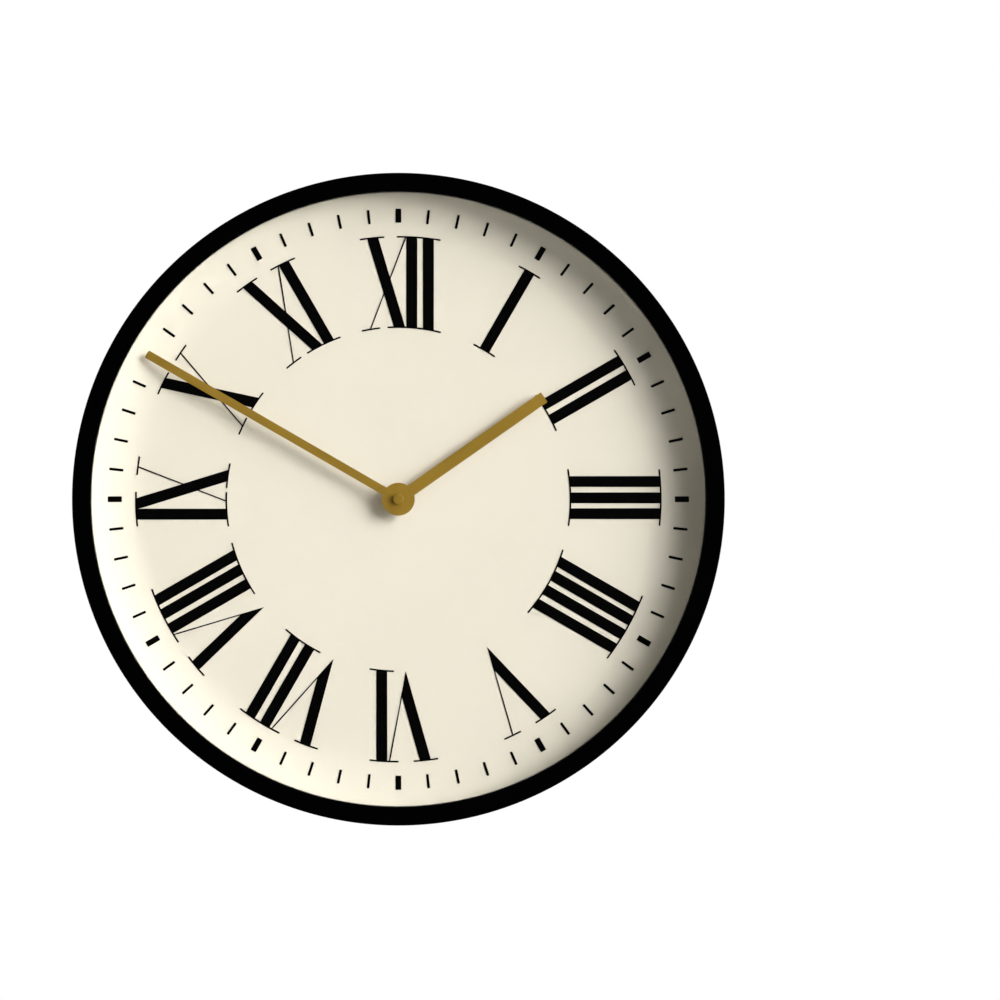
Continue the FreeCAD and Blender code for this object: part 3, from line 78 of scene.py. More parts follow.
def make_camera():
    data = bpy.data.cameras.new("camera")
    data.sensor_width = 36.0
    data.lens = CAMERA_LENS
    data.shift_x, data.shift_y = CAMERA_SHIFT
    data.clip_end = 60.0
    camera = bpy.data.objects.new("camera", data)
    camera.location = (0.0, -CAMERA_DISTANCE, 0.0)
    camera.rotation_euler = (math.radians(90), 0.0, 0.0)
    bpy.context.scene.collection.objects.link(camera)
    bpy.context.scene.camera = camera


def make_sun(name, toward, strength, spread):
    """A sun lamp that casts no highlights; its light comes from the direction called toward."""
    data = bpy.data.lights.new(name, "SUN")
    data.energy = strength
    data.angle = math.radians(spread)
    data.cycles.use_multiple_importance_sampling = False
    lamp = bpy.data.objects.new(name, data)
    lamp.rotation_euler = Vector(toward).to_track_quat("Z", "Y").to_euler()
    lamp.visible_glossy = False
    bpy.context.scene.collection.objects.link(lamp)


def make_world():
    """White to the camera; to everything else a room dim in front of the dial and lit behind it."""
    world = bpy.data.worlds.new("room")
    world.use_nodes = True
    world.cycles.sampling_method = "NONE"
    bpy.context.scene.world = world
    n = Nodes(world.node_tree)
    n.tree.nodes.clear()
    out = n.add("ShaderNodeOutputWorld")
    direction = n.add("ShaderNodeTexCoord").outputs["Generated"]
    axes = n.add("ShaderNodeSeparateXYZ", Vector=direction)
    ahead = n.range(axes.outputs["Y"], 0.02, 0.09, -0.97, -0.55, "SMOOTHSTEP")
    behind = n.range(axes.outputs["Y"], 0.0, 0.75, 0.0, 0.5, "SMOOTHSTEP")
    glow = n.math("ADD", ahead, behind)
    room = n.add("ShaderNodeBackground", Color=(1.0, 0.985, 0.95, 1.0), Strength=glow)
    white = n.add("ShaderNodeBackground", Color=(1.0, 1.0, 1.0, 1.0), Strength=1.0)
    seen = n.add("ShaderNodeLightPath").outputs["Is Camera Ray"]
    mix = n.add("ShaderNodeMixShader", Fac=seen)
    n.link(room.outputs[0], mix.inputs[1])
    n.link(white.outputs[0], mix.inputs[2])
    n.link(mix.outputs[0], out.inputs[0])


# ---- materials ----

class Nodes:
    """Short ways to add shader nodes to a tree."""

    def __init__(self, tree):
        self.tree = tree
        self.place = None

    def link(self, source, target):
        self.tree.links.new(source, target)

    def feed(self, socket, value):
        """Link or set one input."""
        if isinstance(value, bpy.types.NodeSocket):
            self.link(value, socket)
        else:
            socket.default_value = value

    def add(self, kind, **inputs):
        node = self.tree.nodes.new(kind)
        for name, value in inputs.items():
            self.feed(node.inputs[name], value)
        return node

    def coordinates(self, stretch=(1.0, 1.0, 1.0)):
        """The piece's own coordinates in metres, optionally stretched."""
        if self.place is None:
            self.place = self.add("ShaderNodeTexCoord").outputs["Object"]
        if stretch == (1.0, 1.0, 1.0):
            return self.place
        mapping = self.add("ShaderNodeMapping", Vector=self.place, Scale=stretch)
        return mapping.outputs[0]

    def noise(self, scale, detail=2.0, stretch=(1.0, 1.0, 1.0), place=None):
        """Noise from 0 to 1 with about one feature in 1/scale metres."""
        where = self.coordinates(stretch) if place is None else place
        node = self.add("ShaderNodeTexNoise", Vector=where, Scale=scale, Detail=detail)
        return node.outputs["Fac"]

    def range(self, value, low, high, start=0.25, end=0.75, blend="LINEAR"):
        """value taken from (start, end) to (low, high)."""
        node = self.add("ShaderNodeMapRange", Value=value)
        node.interpolation_type = blend
        ends = {"From Min": start, "From Max": end, "To Min": low, "To Max": high}
        for name, number in ends.items():
            node.inputs[name].default_value = number
        return node.outputs[0]

    def math(self, operation, first, second=0.0):
        """One sum, with numbers or sockets; second is unused by sums of one value."""
        node = self.tree.nodes.new("ShaderNodeMath")
        node.operation = operation
        self.feed(node.inputs[0], first)
        self.feed(node.inputs[1], second)
        return node.outputs[0]

    def mix(self, share, first, second):
        """A colour between first and second."""
        node = self.tree.nodes.new("ShaderNodeMix")
        node.data_type = "RGBA"
        self.feed(node.inputs["Factor"], share)
        self.feed(node.inputs["A"], first)
        self.feed(node.inputs["B"], second)
        return node.outputs["Result"]

    def bump(self, height, depth, normal=None):
        """A normal that looks depth metres deep."""
        node = self.add("ShaderNodeBump", Height=height, Distance=depth, Strength=1.0)
        if normal is not None:
            self.link(normal, node.inputs["Normal"])
        return node.outputs[0]

    def soft_edges(self, radius):
        """Normals rounded over the piece's edges, and a mask of them for a painted edge highlight.
        """
        node = self.add("ShaderNodeBevel", Radius=radius)
        node.samples = 4
        true = self.add("ShaderNodeNewGeometry").outputs["Normal"]
        product = self.tree.nodes.new("ShaderNodeVectorMath")
        product.operation = "DOT_PRODUCT"
        self.link(node.outputs[0], product.inputs[0])
        self.link(true, product.inputs[1])
        edge_highlight_mask = self.range(product.outputs["Value"], 1.0, 0.0, 0.80, 0.995)
        return node.outputs[0], edge_highlight_mask


def rgba(colour, gain):
    """A colour made lighter or darker by gain, with its alpha."""
    return tuple(min(part * gain, 1.0) for part in colour) + (1.0,)


def new_material(name, metallic=0.0, level=0.5, coat=0.0, coat_roughness=0.1):
    """A material, its nodes and its Principled shader, with the shader's constants set."""
    made = bpy.data.materials.new(name)
    made.use_nodes = True
    n = Nodes(made.node_tree)
    n.tree.nodes.clear()
    out = n.add("ShaderNodeOutputMaterial")
    shader = n.add("ShaderNodeBsdfPrincipled")
    shader.inputs["Metallic"].default_value = metallic
    shader.inputs["Specular IOR Level"].default_value = level
    shader.inputs["Coat Weight"].default_value = coat
    shader.inputs["Coat Roughness"].default_value = coat_roughness
    n.link(shader.outputs[0], out.inputs["Surface"])
    return made, n, shader


def finish_material(name, colour, roughness, metallic=0.0, level=0.5, mottle=0.06,
                    mottle_scale=90.0, grain_scale=1500.0, grain_depth=0.00002,
                    stretch=(1.0, 1.0, 1.0), edge=0.0, edge_highlight_gain=1.0, streaks=0.0, coat=0.0):
    """A moulded or machined surface: mottled colour, uneven gloss, fine grain, softened edges
    painted lighter as a highlight.
    """
    made, n, shader = new_material(name, metallic, level, coat)
    cloud = n.noise(mottle_scale, 3.0)
    fine = n.noise(grain_scale, 2.0, stretch)
    tone = n.mix(n.range(cloud, 0.0, 1.0), rgba(colour, 1.0 - mottle), rgba(colour, 1.0 + mottle))
    gloss = n.range(cloud, roughness * 0.88, roughness * 1.12)
    normal = None
    if edge > 0.0:
        normal, edge_highlight_mask = n.soft_edges(edge)
        # Painted highlight: the colour is made lighter along the edges.
        tone = n.mix(n.math("MULTIPLY", edge_highlight_mask, 0.8), tone, rgba(colour, edge_highlight_gain))
    if streaks > 0.0:
        gloss = n.math("ADD", gloss, n.range(fine, -streaks, streaks))
    n.link(tone, shader.inputs["Base Color"])
    n.link(gloss, shader.inputs["Roughness"])
    n.link(n.bump(fine, grain_depth, normal), shader.inputs["Normal"])
    return made


def case_paint():
    """Satin black stove enamel on steel: orange peel, a few dust nibs, faint uneven gloss."""
    made, n, shader = new_material("case_paint_look", level=0.11)
    peel = n.noise(620.0, 2.0)
    cloud = n.noise(28.0, 3.0)
    dust = n.range(n.noise(2600.0, 0.0), 0.0, 1.0, 0.74, 0.80)
    tone = n.mix(n.range(cloud, 0.0, 1.0),
                 (0.0005, 0.0005, 0.0006, 1.0), (0.0011, 0.0011, 0.0012, 1.0))
    tone = n.mix(dust, tone, (0.003, 0.003, 0.003, 1.0))
    n.link(tone, shader.inputs["Base Color"])
    n.link(n.range(cloud, 0.30, 0.37), shader.inputs["Roughness"])
    height = n.math("ADD", peel, n.math("MULTIPLY", dust, 0.15))
    n.link(n.bump(height, 0.000006), shader.inputs["Normal"])
    return made


def dial_enamel():
    """Cream enamel on sheet metal: faint clouding, soft sheen, fine grain; grey primer behind."""
    made, n, shader = new_material("dial_enamel_look", level=0.25)
    cloud = n.noise(9.0, 3.0)
    speck = n.noise(900.0, 2.0)
    share = n.math("ADD", n.math("MULTIPLY", cloud, 0.6), n.math("MULTIPLY", speck, 0.4))
    tone = n.mix(n.range(share, 0.0, 1.0, 0.35, 0.65),
                 (0.815, 0.762, 0.633, 1.0), (0.835, 0.782, 0.652, 1.0))
    facing = n.add("ShaderNodeSeparateXYZ", Vector=n.add("ShaderNodeTexCoord").outputs["Normal"])
    primer = n.mix(n.range(speck, 0.0, 1.0),
                   (0.115, 0.118, 0.12, 1.0), (0.155, 0.157, 0.158, 1.0))
    tone = n.mix(n.range(facing.outputs["Y"], 0.0, 1.0, 0.2, 0.4), tone, primer)
    n.link(tone, shader.inputs["Base Color"])
    n.link(n.range(cloud, 0.46, 0.56), shader.inputs["Roughness"])
    n.link(n.bump(speck, 0.000006), shader.inputs["Normal"])
    return made


def dial_ink():
    """Dense matt black ink with the fine tooth of a screen print."""
    made, n, shader = new_material("dial_ink_look", level=0.0)
    tooth = n.noise(2400.0, 2.0)
    cloud = n.noise(60.0, 2.0)
    tone = n.mix(n.range(cloud, 0.0, 1.0),
                 (0.0002, 0.0002, 0.0002, 1.0), (0.0007, 0.0007, 0.0007, 1.0))
    n.link(tone, shader.inputs["Base Color"])
    n.link(n.range(tooth, 0.42, 0.58), shader.inputs["Roughness"])
    n.link(n.bump(tooth, 0.000008), shader.inputs["Normal"])
    return made


def glass_look():
    """Clear float glass with the faintest uneven tint."""
    made, n, shader = new_material("clear_glass_look")
    shader.inputs["Transmission Weight"].default_value = 1.0
    shader.inputs["IOR"].default_value = 1.45
    shader.inputs["Roughness"].default_value = 0.0
    smear = n.noise(14.0, 4.0, (1.0, 1.0, 2.5))
    tone = n.mix(n.range(smear, 0.0, 1.0), (0.997, 1.0, 0.998, 1.0), (0.990, 0.997, 0.993, 1.0))
    n.link(tone, shader.inputs["Base Color"])
    return made


def hand_metal(name, along, rough=0.47):
    """Satin brass-coloured finish with brushing along the hand; along is its clock angle."""
    made, n, shader = new_material(name, metallic=0.55, level=0.4)
    turned = n.add("ShaderNodeMapping", Vector=n.coordinates(),
                   Rotation=(0.0, -math.radians(along), 0.0))
    squeezed = n.add("ShaderNodeMapping", Vector=turned.outputs[0], Scale=(1.0, 1.0, 0.02))
    brush = n.noise(5200.0, 3.0, place=squeezed.outputs[0])
    cloud = n.noise(40.0, 3.0)
    tone = n.mix(n.range(cloud, 0.0, 1.0),
                 (0.390, 0.231, 0.0245, 1.0), (0.414, 0.246, 0.0265, 1.0))
    tone = n.mix(n.range(brush, 0.0, 0.30), tone, (0.48, 0.303, 0.045, 1.0))
    n.link(tone, shader.inputs["Base Color"])
    uneven = n.range(cloud, rough - 0.03, rough + 0.03)
    n.link(n.math("ADD", uneven, n.range(brush, -0.05, 0.05)), shader.inputs["Roughness"])
    n.link(n.bump(brush, 0.000004), shader.inputs["Normal"])
    return made


def turned_metal(name, colour, roughness, centre=(0.0, 0.0), axis="Y"):
    """Turned metal: rings of fine tool marks about an axis through centre, with soft edges painted
    lighter as a highlight.
    """
    made, n, shader = new_material(name, metallic=1.0)
    axes = n.add("ShaderNodeSeparateXYZ", Vector=n.coordinates())
    across = {"Y": "XZ", "X": "YZ"}[axis]
    legs = [n.math("POWER", n.math("SUBTRACT", axes.outputs[leg], middle), 2.0)
            for leg, middle in zip(across, centre)]
    radius = n.math("SQRT", n.math("ADD", *legs))
    rings = n.add("ShaderNodeCombineXYZ", X=radius, Y=axes.outputs[axis])
    marks = n.noise(9000.0, 2.0, place=rings.outputs[0])
    cloud = n.noise(160.0, 3.0)
    normal, edge_highlight_mask = n.soft_edges(0.00015)
    tone = n.mix(n.range(cloud, 0.0, 1.0), rgba(colour, 0.9), rgba(colour, 1.08))
    # Painted highlight: the edges are made half again as light.
    tone = n.mix(n.math("MULTIPLY", edge_highlight_mask, 0.5), tone, rgba(colour, 1.5))
    n.link(tone, shader.inputs["Base Color"])
    uneven = n.range(cloud, roughness * 0.9, roughness * 1.1)
    n.link(n.math("ADD", uneven, n.range(marks, -0.06, 0.06)), shader.inputs["Roughness"])
    n.link(n.bump(marks, 0.000006, normal), shader.inputs["Normal"])
    return made


def zinc_steel():
    """Zinc-plated steel: cool grey with the patchy spangle and blue tinge of passivation, and a
    painted highlight on its edges.
    """
    made, n, shader = new_material("zinc_steel_look", metallic=1.0)
    cells = n.add("ShaderNodeTexVoronoi", Vector=n.coordinates(), Scale=420.0)
    cells.feature = "F1"
    patch = n.noise(55.0, 4.0)
    normal, edge_highlight_mask = n.soft_edges(0.0003)
    spangle = n.math("MULTIPLY", cells.outputs["Distance"], 0.35)
    share = n.math("ADD", spangle, n.math("MULTIPLY", patch, 0.65))
    tone = n.mix(n.range(share, 0.0, 1.0, 0.3, 0.65),
                 (0.46, 0.49, 0.54, 1.0), (0.66, 0.65, 0.62, 1.0))
    # Painted highlight: the edges are made a lighter grey.
    tone = n.mix(n.math("MULTIPLY", edge_highlight_mask, 0.6), tone, (0.80, 0.80, 0.79, 1.0))
    n.link(tone, shader.inputs["Base Color"])
    n.link(n.range(share, 0.26, 0.42), shader.inputs["Roughness"])
    n.link(n.bump(n.noise(3200.0, 2.0), 0.00001, normal), shader.inputs["Normal"])
    return made


def copper_winding():
    """Enamelled copper wire: close turns along the coil, with painted shade between turns and a
    painted highlight on each crown.
    """
    made, n, shader = new_material("copper_wire_look", metallic=1.0, coat=0.6)
    wave = n.add("ShaderNodeTexWave", Vector=n.coordinates(), Scale=2600.0, Distortion=0.35,
                 Detail=1.0)
    wave.bands_direction = "X"
    turns = wave.outputs["Fac"]
    # Painted shade and highlight: dark copper in the grooves between turns, bright copper on their
    # crowns.
    tone = n.mix(turns, (0.30, 0.085, 0.03, 1.0), (0.80, 0.36, 0.15, 1.0))
    n.link(tone, shader.inputs["Base Color"])
    n.link(n.range(turns, 0.4, 0.22, 0.0, 1.0), shader.inputs["Roughness"])
    n.link(n.bump(turns, 0.00008), shader.inputs["Normal"])
    return made


def board_green():
    """Circuit board: green resist over copper tracks and woven glass."""
    made, n, shader = new_material("board_green_look", coat=0.4)
    axes = n.add("ShaderNodeSeparateXYZ", Vector=n.coordinates())
    track = n.add("ShaderNodeTexBrick", Vector=n.coordinates(), Scale=240.0)
    threads = [n.math("SINE", n.math("MULTIPLY", axes.outputs[way], 9000.0)) for way in "XZ"]
    weave = n.math("MULTIPLY", *threads)
    tone = n.mix(track.outputs["Fac"], (0.012, 0.13, 0.045, 1.0), (0.02, 0.20, 0.07, 1.0))
    tone = n.mix(n.range(weave, 0.0, 0.25, -1.0, 1.0), tone, (0.05, 0.24, 0.10, 1.0))
    n.link(tone, shader.inputs["Base Color"])
    n.link(n.range(weave, 0.3, 0.42, -1.0, 1.0), shader.inputs["Roughness"])
    n.link(n.bump(n.math("ADD", weave, track.outputs["Fac"]), 0.00003), shader.inputs["Normal"])
    return made


def cell_sleeve():
    """Printed film on the battery: slate blue with a pale band and two thin lines, no lettering."""
    made, n, shader = new_material("cell_sleeve_look", metallic=0.35, coat=0.8, coat_roughness=0.12)
    axes = n.add("ShaderNodeSeparateXYZ", Vector=n.coordinates())
    x = axes.outputs["X"]

    def between(low, high):
        above = n.math("GREATER_THAN", x, low)
        return n.math("MULTIPLY", above, n.math("LESS_THAN", x, high))

    cloud = n.noise(120.0, 3.0)
    tone = n.mix(n.range(cloud, 0.0, 1.0),
                 (0.035, 0.055, 0.085, 1.0), (0.045, 0.070, 0.105, 1.0))
    for low, high in ((0.0125, 0.0185), (0.0108, 0.0114), (-0.0215, -0.0205)):
        tone = n.mix(between(low, high), tone, (0.62, 0.63, 0.62, 1.0))
    n.link(tone, shader.inputs["Base Color"])
    n.link(n.range(cloud, 0.24, 0.34), shader.inputs["Roughness"])
    n.link(n.bump(n.noise(700.0, 3.0), 0.00001), shader.inputs["Normal"])
    return made


def floor_look():
    """Pale matt floor with a trace of trowelled texture."""
    made, n, shader = new_material("floor_look", level=0.2)
    cloud = n.noise(1.3, 4.0)
    fine = n.noise(45.0, 4.0)
    tone = n.mix(n.range(cloud, 0.0, 1.0), (0.86, 0.855, 0.84, 1.0), (0.89, 0.885, 0.87, 1.0))
    n.link(tone, shader.inputs["Base Color"])
    n.link(n.range(fine, 0.7, 0.85), shader.inputs["Roughness"])
    n.link(n.bump(fine, 0.0004), shader.inputs["Normal"])
    return made


def make_looks():
    """One finished material for each of the record's material slots."""
    return {
        "case_paint": case_paint(),
        "clear_glass": glass_look(),
        "dial_enamel": dial_enamel(),
        "dial_ink": dial_ink(),
        "zinc_steel": zinc_steel(),
        "copper_wire": copper_winding(),
        "board_green": board_green(),
        "cell_sleeve": cell_sleeve(),
        # The edge gains below make each piece's edges lighter: a painted highlight.
        "black_rubber": finish_material(
            "black_rubber_look", (0.012, 0.012, 0.012), 0.75, level=0.3, grain_scale=2600.0,
            grain_depth=0.00003, edge=0.0002, edge_highlight_gain=1.6),
        "black_plastic": finish_material(
            "black_plastic_look", (0.006, 0.006, 0.0065), 0.5, level=0.3, edge=0.0003,
            edge_highlight_gain=1.5),
        "back_plastic": finish_material(
            "back_plastic_look", (0.0075, 0.0075, 0.008), 0.42, level=0.45, mottle=0.12,
            mottle_scale=35.0, grain_scale=1900.0, grain_depth=0.00006, edge=0.0006,
            edge_highlight_gain=1.8),
        "movement_plastic": finish_material(
            "movement_plastic_look", (0.022, 0.022, 0.024), 0.42, level=0.45, mottle=0.08,
            grain_scale=2600.0, grain_depth=0.00003, edge=0.0004, edge_highlight_gain=1.9),
        "acetal": finish_material(
            "acetal_look", (0.78, 0.77, 0.71), 0.38, mottle=0.03, grain_scale=3000.0,
            edge=0.0001, edge_highlight_gain=1.1),
        "contact_spring": finish_material(
            "contact_spring_look", (0.66, 0.64, 0.58), 0.28, metallic=1.0, grain_scale=3600.0,
            stretch=(1.0, 1.0, 0.05), streaks=0.06, edge=0.0001, edge_highlight_gain=1.3),
        "soft_iron": finish_material(
            "soft_iron_look", (0.40, 0.40, 0.42), 0.4, metallic=1.0, mottle=0.15,
            mottle_scale=300.0, edge=0.0001, edge_highlight_gain=1.5),
        "crystal_can": turned_metal(
            "crystal_can_look", (0.68, 0.68, 0.69), 0.2, (-0.043, 0.023), "X"),
        "chip_resin": finish_material(
            "chip_resin_look", (0.008, 0.008, 0.008), 0.18, mottle=0.2, mottle_scale=500.0,
            grain_scale=700.0, grain_depth=0.00003, coat=0.5),
        "brass": turned_metal("brass_look", (0.72, 0.50, 0.17), 0.27),
        "arbor_steel": turned_metal("arbor_steel_look", (0.52, 0.52, 0.54), 0.2),
        "ferrite": finish_material(
            "ferrite_look", (0.035, 0.035, 0.038), 0.62, metallic=0.3, mottle=0.3,
            mottle_scale=900.0, grain_scale=4200.0, grain_depth=0.00004, edge=0.0001,
            edge_highlight_gain=1.8),
        "hand_gold": hand_metal("hand_gold_look", 0.0),
    }


# ---- mesh helpers ----

def rounded(corners, steps=6):
    """A closed outline from (u, v, radius) corners, each turned into a short arc."""
    count = len(corners)
    points = []
    for index, (u, v, radius) in enumerate(corners):
        here = Vector((u, v))
        if radius <= 0.0:
            points.append((u, v))
            continue
        before = Vector(corners[index - 1][:2]) - here
        after = Vector(corners[(index + 1) % count][:2]) - here
        half = before.angle(after) / 2
        reach = radius / math.tan(half)
        start = here + before.normalized() * reach
        end = here + after.normalized() * reach
        inward = (before.normalized() + after.normalized()).normalized()
        centre = here + inward * (radius / math.sin(half))
        first = (start - centre).normalized()
        last = (end - centre).normalized()
        sweep = first.angle(last)
        for step in range(steps + 1):
            share = step / steps
            blend = first * math.sin((1 - share) * sweep) + last * math.sin(share * sweep)
            point = centre + blend / math.sin(sweep) * radius
            points.append((point.x, point.y))
    return points


def on_dial_axis(radius, turn, height):
    """The point at a radius, a clock angle in radians and a height, all but the angle in mm."""
    return Vector((radius * math.sin(turn), -height, radius * math.cos(turn))) * MM


def lathe(outline, segments, place=on_dial_axis, closed=True):
    """A bmesh turned from an outline of (radius, height) in mm; place puts each point in space."""
    made = bmesh.new()
    rings = []
    for index in range(segments):
        turn = 2 * math.pi * index / segments
        rings.append([made.verts.new(place(radius, turn, height)) for radius, height in outline])
    count = len(outline)
    last = count if closed else count - 1
    for index in range(segments):
        one = rings[index]
        two = rings[(index + 1) % segments]
        for step in range(last):
            following = (step + 1) % count
            made.faces.new((one[step], one[following], two[following], two[step]))
    bmesh.ops.remove_doubles(made, verts=made.verts, dist=1e-7)
    slivers = [face for face in made.faces if face.calc_area() < 1e-14]
    bmesh.ops.delete(made, geom=slivers, context="FACES")
    bmesh.ops.recalc_face_normals(made, faces=made.faces)
    return made


def join(target, other):
    """Add another bmesh's geometry to target."""
    mesh = bpy.data.meshes.new("joining")
    other.to_mesh(mesh)
    other.free()
    target.from_mesh(mesh)
    bpy.data.meshes.remove(mesh)


def as_piece(name, made, look, body, replaces=()):
    """Turn a bmesh into a piece of the clock that rides on a body."""
    mesh = bpy.data.meshes.new(name)
    made.to_mesh(mesh)
    made.free()
    mesh.polygons.foreach_set("use_smooth", [True] * len(mesh.polygons))
    mesh.set_sharp_from_angle(angle=SHARP_FROM)
    mesh.materials.append(look)
    piece = bpy.data.objects.new(name, mesh)
    bpy.context.scene.collection.objects.link(piece)
    flatten = piece.modifiers.new("flat faces", "WEIGHTED_NORMAL")
    flatten.keep_sharp = True
    flatten.weight = 80
    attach(piece, body)
    if replaces:
        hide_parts(*replaces)
    return piece


def prism(loops, back, front, bevel, segments=2, turn=0.0):
    """A flat plate between two heights, from outlines of (x, z) in mm: the outer one, then holes.

    bevel rounds its edges, and it is turned by a clock angle about the dial's axis.
    """
    made = bmesh.new()
    edges = []
    for loop in loops:
        verts = [made.verts.new((x * MM, -back * MM, z * MM)) for x, z in loop]
        edges += [made.edges.new((verts[i - 1], verts[i])) for i in range(len(verts))]
    bmesh.ops.triangle_fill(made, use_beauty=True, use_dissolve=False, edges=edges,
                            normal=(0.0, 1.0, 0.0))
    faces = list(made.faces)
    grown = bmesh.ops.extrude_face_region(made, geom=faces)
    moved = [item for item in grown["geom"] if isinstance(item, bmesh.types.BMVert)]
    bmesh.ops.translate(made, verts=moved, vec=(0.0, (back - front) * MM, 0.0))
    bmesh.ops.recalc_face_normals(made, faces=made.faces)
    rims = [edge for edge in made.edges if len(edge.link_faces) == 2
            and edge.calc_face_angle(0.0) > math.radians(40)]
    bmesh.ops.bevel(made, geom=rims, offset=bevel * MM, segments=segments, profile=0.5,
                    affect="EDGES", clamp_overlap=True)
    spin = Matrix.Rotation(math.radians(turn), 4, "Y")
    bmesh.ops.transform(made, matrix=spin, verts=made.verts)
    return made


def circle(radius, segments, centre=(0.0, 0.0)):
    """Outline of a circle."""
    steps = [2 * math.pi * index / segments for index in range(segments)]
    x, z = centre
    return [(x + radius * math.sin(turn), z + radius * math.cos(turn)) for turn in steps]


def clock_point(radius, angle):
    """The (x, z) of a point at a radius and a clock angle in degrees."""
    turn = math.radians(angle)
    return radius * math.sin(turn), radius * math.cos(turn)


# ---- pieces ----

def about(spot):
    """A place for lathe that turns about an axis through spot, parallel to the dial's."""
    def place(radius, turn, height):
        x = spot[0] + radius * math.sin(turn)
        z = spot[1] + radius * math.cos(turn)
        return Vector((x, -height, z)) * MM
    return place


def make_case(looks):
    """The drum: a smooth turned shell with its rolled edges, and the bosses inside it."""
    inside = CASE_R - CASE_WALL
    rim_back = CASE_DEPTH - RIM_THICK
    outline = rounded([
        (inside, 0.0, 0.5), (CASE_R, 0.0, 0.8), (CASE_R, CASE_DEPTH, 1.2),
        (RIM_R, CASE_DEPTH, 1.2), (RIM_R, rim_back, 0.4), (inside, rim_back, 0.8),
    ], 8)
    shell = lathe(outline, 384)
    boss_r, screw_r, screw_depth = 3.25, 1.1, 10.0
    for first, back, front in ((15.0, 68.0, 82.0), (45.0, 8.0, 40.0)):
        floor = back + screw_depth
        boss = rounded([
            (0.0, floor, 0.0), (screw_r, floor, 0.0), (screw_r, back, 0.15), (boss_r, back, 0.3),
            (boss_r, front, 0.0), (0.0, front, 0.0),
        ], 4)
        for turn in range(6):
            spot = clock_point(SCREW_CIRCLE_R, first + 60.0 * turn)
            join(shell, lathe(boss, 32, about(spot)))
    as_piece("case_shell", shell, looks["case_paint"], "clock", ["case_drum"])


def dish(height, arc, sweep):
    """Outline of the dial's dished border: an arc that rises from the flat at a height."""
    steps = 28
    turns = [sweep * step / steps for step in range(steps + 1)]
    return [(DIAL_FLAT_R + arc * math.sin(turn), height + arc * (1 - math.cos(turn)))
            for turn in turns]


def make_dial(looks):
    """The dished dial with its lip and six screw ears."""
    run = RIM_R - DIAL_FLAT_R
    arc = (run * run + DIAL_RISE * DIAL_RISE) / (2 * DIAL_RISE)
    back_arc = arc + DIAL_THICK
    flat_back = DIAL_FRONT - DIAL_THICK
    lip_front = DIAL_FRONT + DIAL_RISE
    lip_back = lip_front - DIAL_THICK
    front = dish(DIAL_FRONT, arc, math.asin(run / arc))
    back = dish(flat_back, back_arc, math.acos(1 - (lip_back - flat_back) / back_arc))
    radii = (DIAL_HOLE_R + 0.1, 20.0, 60.0, 110.0)
    soft = 0.15
    edge = [(DIAL_LIP_R - soft, lip_front), (DIAL_LIP_R, lip_front - soft),
            (DIAL_LIP_R, lip_back + soft), (DIAL_LIP_R - soft, lip_back)]
    hole = [(DIAL_HOLE_R, flat_back + 0.1), (DIAL_HOLE_R, DIAL_FRONT - 0.1)]
    outline = hole + [(radius, DIAL_FRONT) for radius in radii] + front + edge
    outline += back[::-1] + [(radius, flat_back) for radius in radii[::-1]]
    plate = lathe(outline, 384)
    for turn in range(6):
        angle = 15.0 + 60.0 * turn
        ear = circle(EAR_R, 48, clock_point(EAR_CIRCLE_R, angle))
        bore = circle(EAR_HOLE_R, 32, clock_point(SCREW_CIRCLE_R, angle))
        join(plate, prism([ear, bore], lip_back + 0.05, lip_front - 0.05, 0.1))
    as_piece("dial_plate", plate, looks["dial_enamel"], "clock", ["dial"])


def make_glass(looks):
    """Flat glass with a ground arris."""
    arris = 0.3
    outline = [(0.0, GLASS_BACK), (GLASS_R - arris, GLASS_BACK), (GLASS_R, GLASS_BACK + arris),
               (GLASS_R, GLASS_FRONT - arris), (GLASS_R - arris, GLASS_FRONT), (0.0, GLASS_FRONT)]
    pane = lathe(outline, 256, closed=False)
    piece = as_piece("glass_pane", pane, looks["clear_glass"], "clock",
                     ["glass_lens"])
    piece.visible_shadow = False
    return piece


def hand_outline(length, half):
    """Outline of a hub with a blade that points up and is twice half wide, in mm."""
    meet = math.asin(half / HUB_R)
    steps = 96
    points = []
    for step in range(steps + 1):
        turn = meet + (2 * math.pi - 2 * meet) * step / steps
        points.append((HUB_R * math.sin(turn), HUB_R * math.cos(turn)))
    corner = 0.3
    tip = [(-half, length - corner), (0.3 * corner - half, length - 0.3 * corner),
           (corner - half, length)]
    return points + tip + [(-x, z) for x, z in reversed(tip)]


def make_hands():
    """The two flat hands: stamped, with slightly broken edges."""
    hour = prism([hand_outline(HOUR_LENGTH, HOUR_HALF_WIDTH), circle(HOUR_HOLE_R, 48)],
                 HOUR_BACK, HOUR_FRONT, HAND_EDGE, turn=HOUR_AT_REST)
    meet = math.acos(THREAD_HALF_FLAT / THREAD_R)
    turns = [meet + (math.pi - 2 * meet) * step / 12 for step in range(13)]
    half_hole = [(THREAD_R * math.cos(turn), THREAD_R * math.sin(turn)) for turn in turns]
    minute_hole = half_hole + [(-x, -z) for x, z in half_hole]
    minute = prism([hand_outline(MINUTE_LENGTH, MINUTE_HALF_WIDTH), minute_hole],
                   MINUTE_BACK, MINUTE_FRONT, HAND_EDGE, turn=MINUTE_AT_REST)
    as_piece("hour_blade", hour, hand_metal("hour_gold_look", HOUR_AT_REST),
             "hour_hand_group", ["hour_hand"])
    as_piece("minute_blade", minute, hand_metal("minute_gold_look", MINUTE_AT_REST),
             "minute_hand_group", ["minute_hand"])


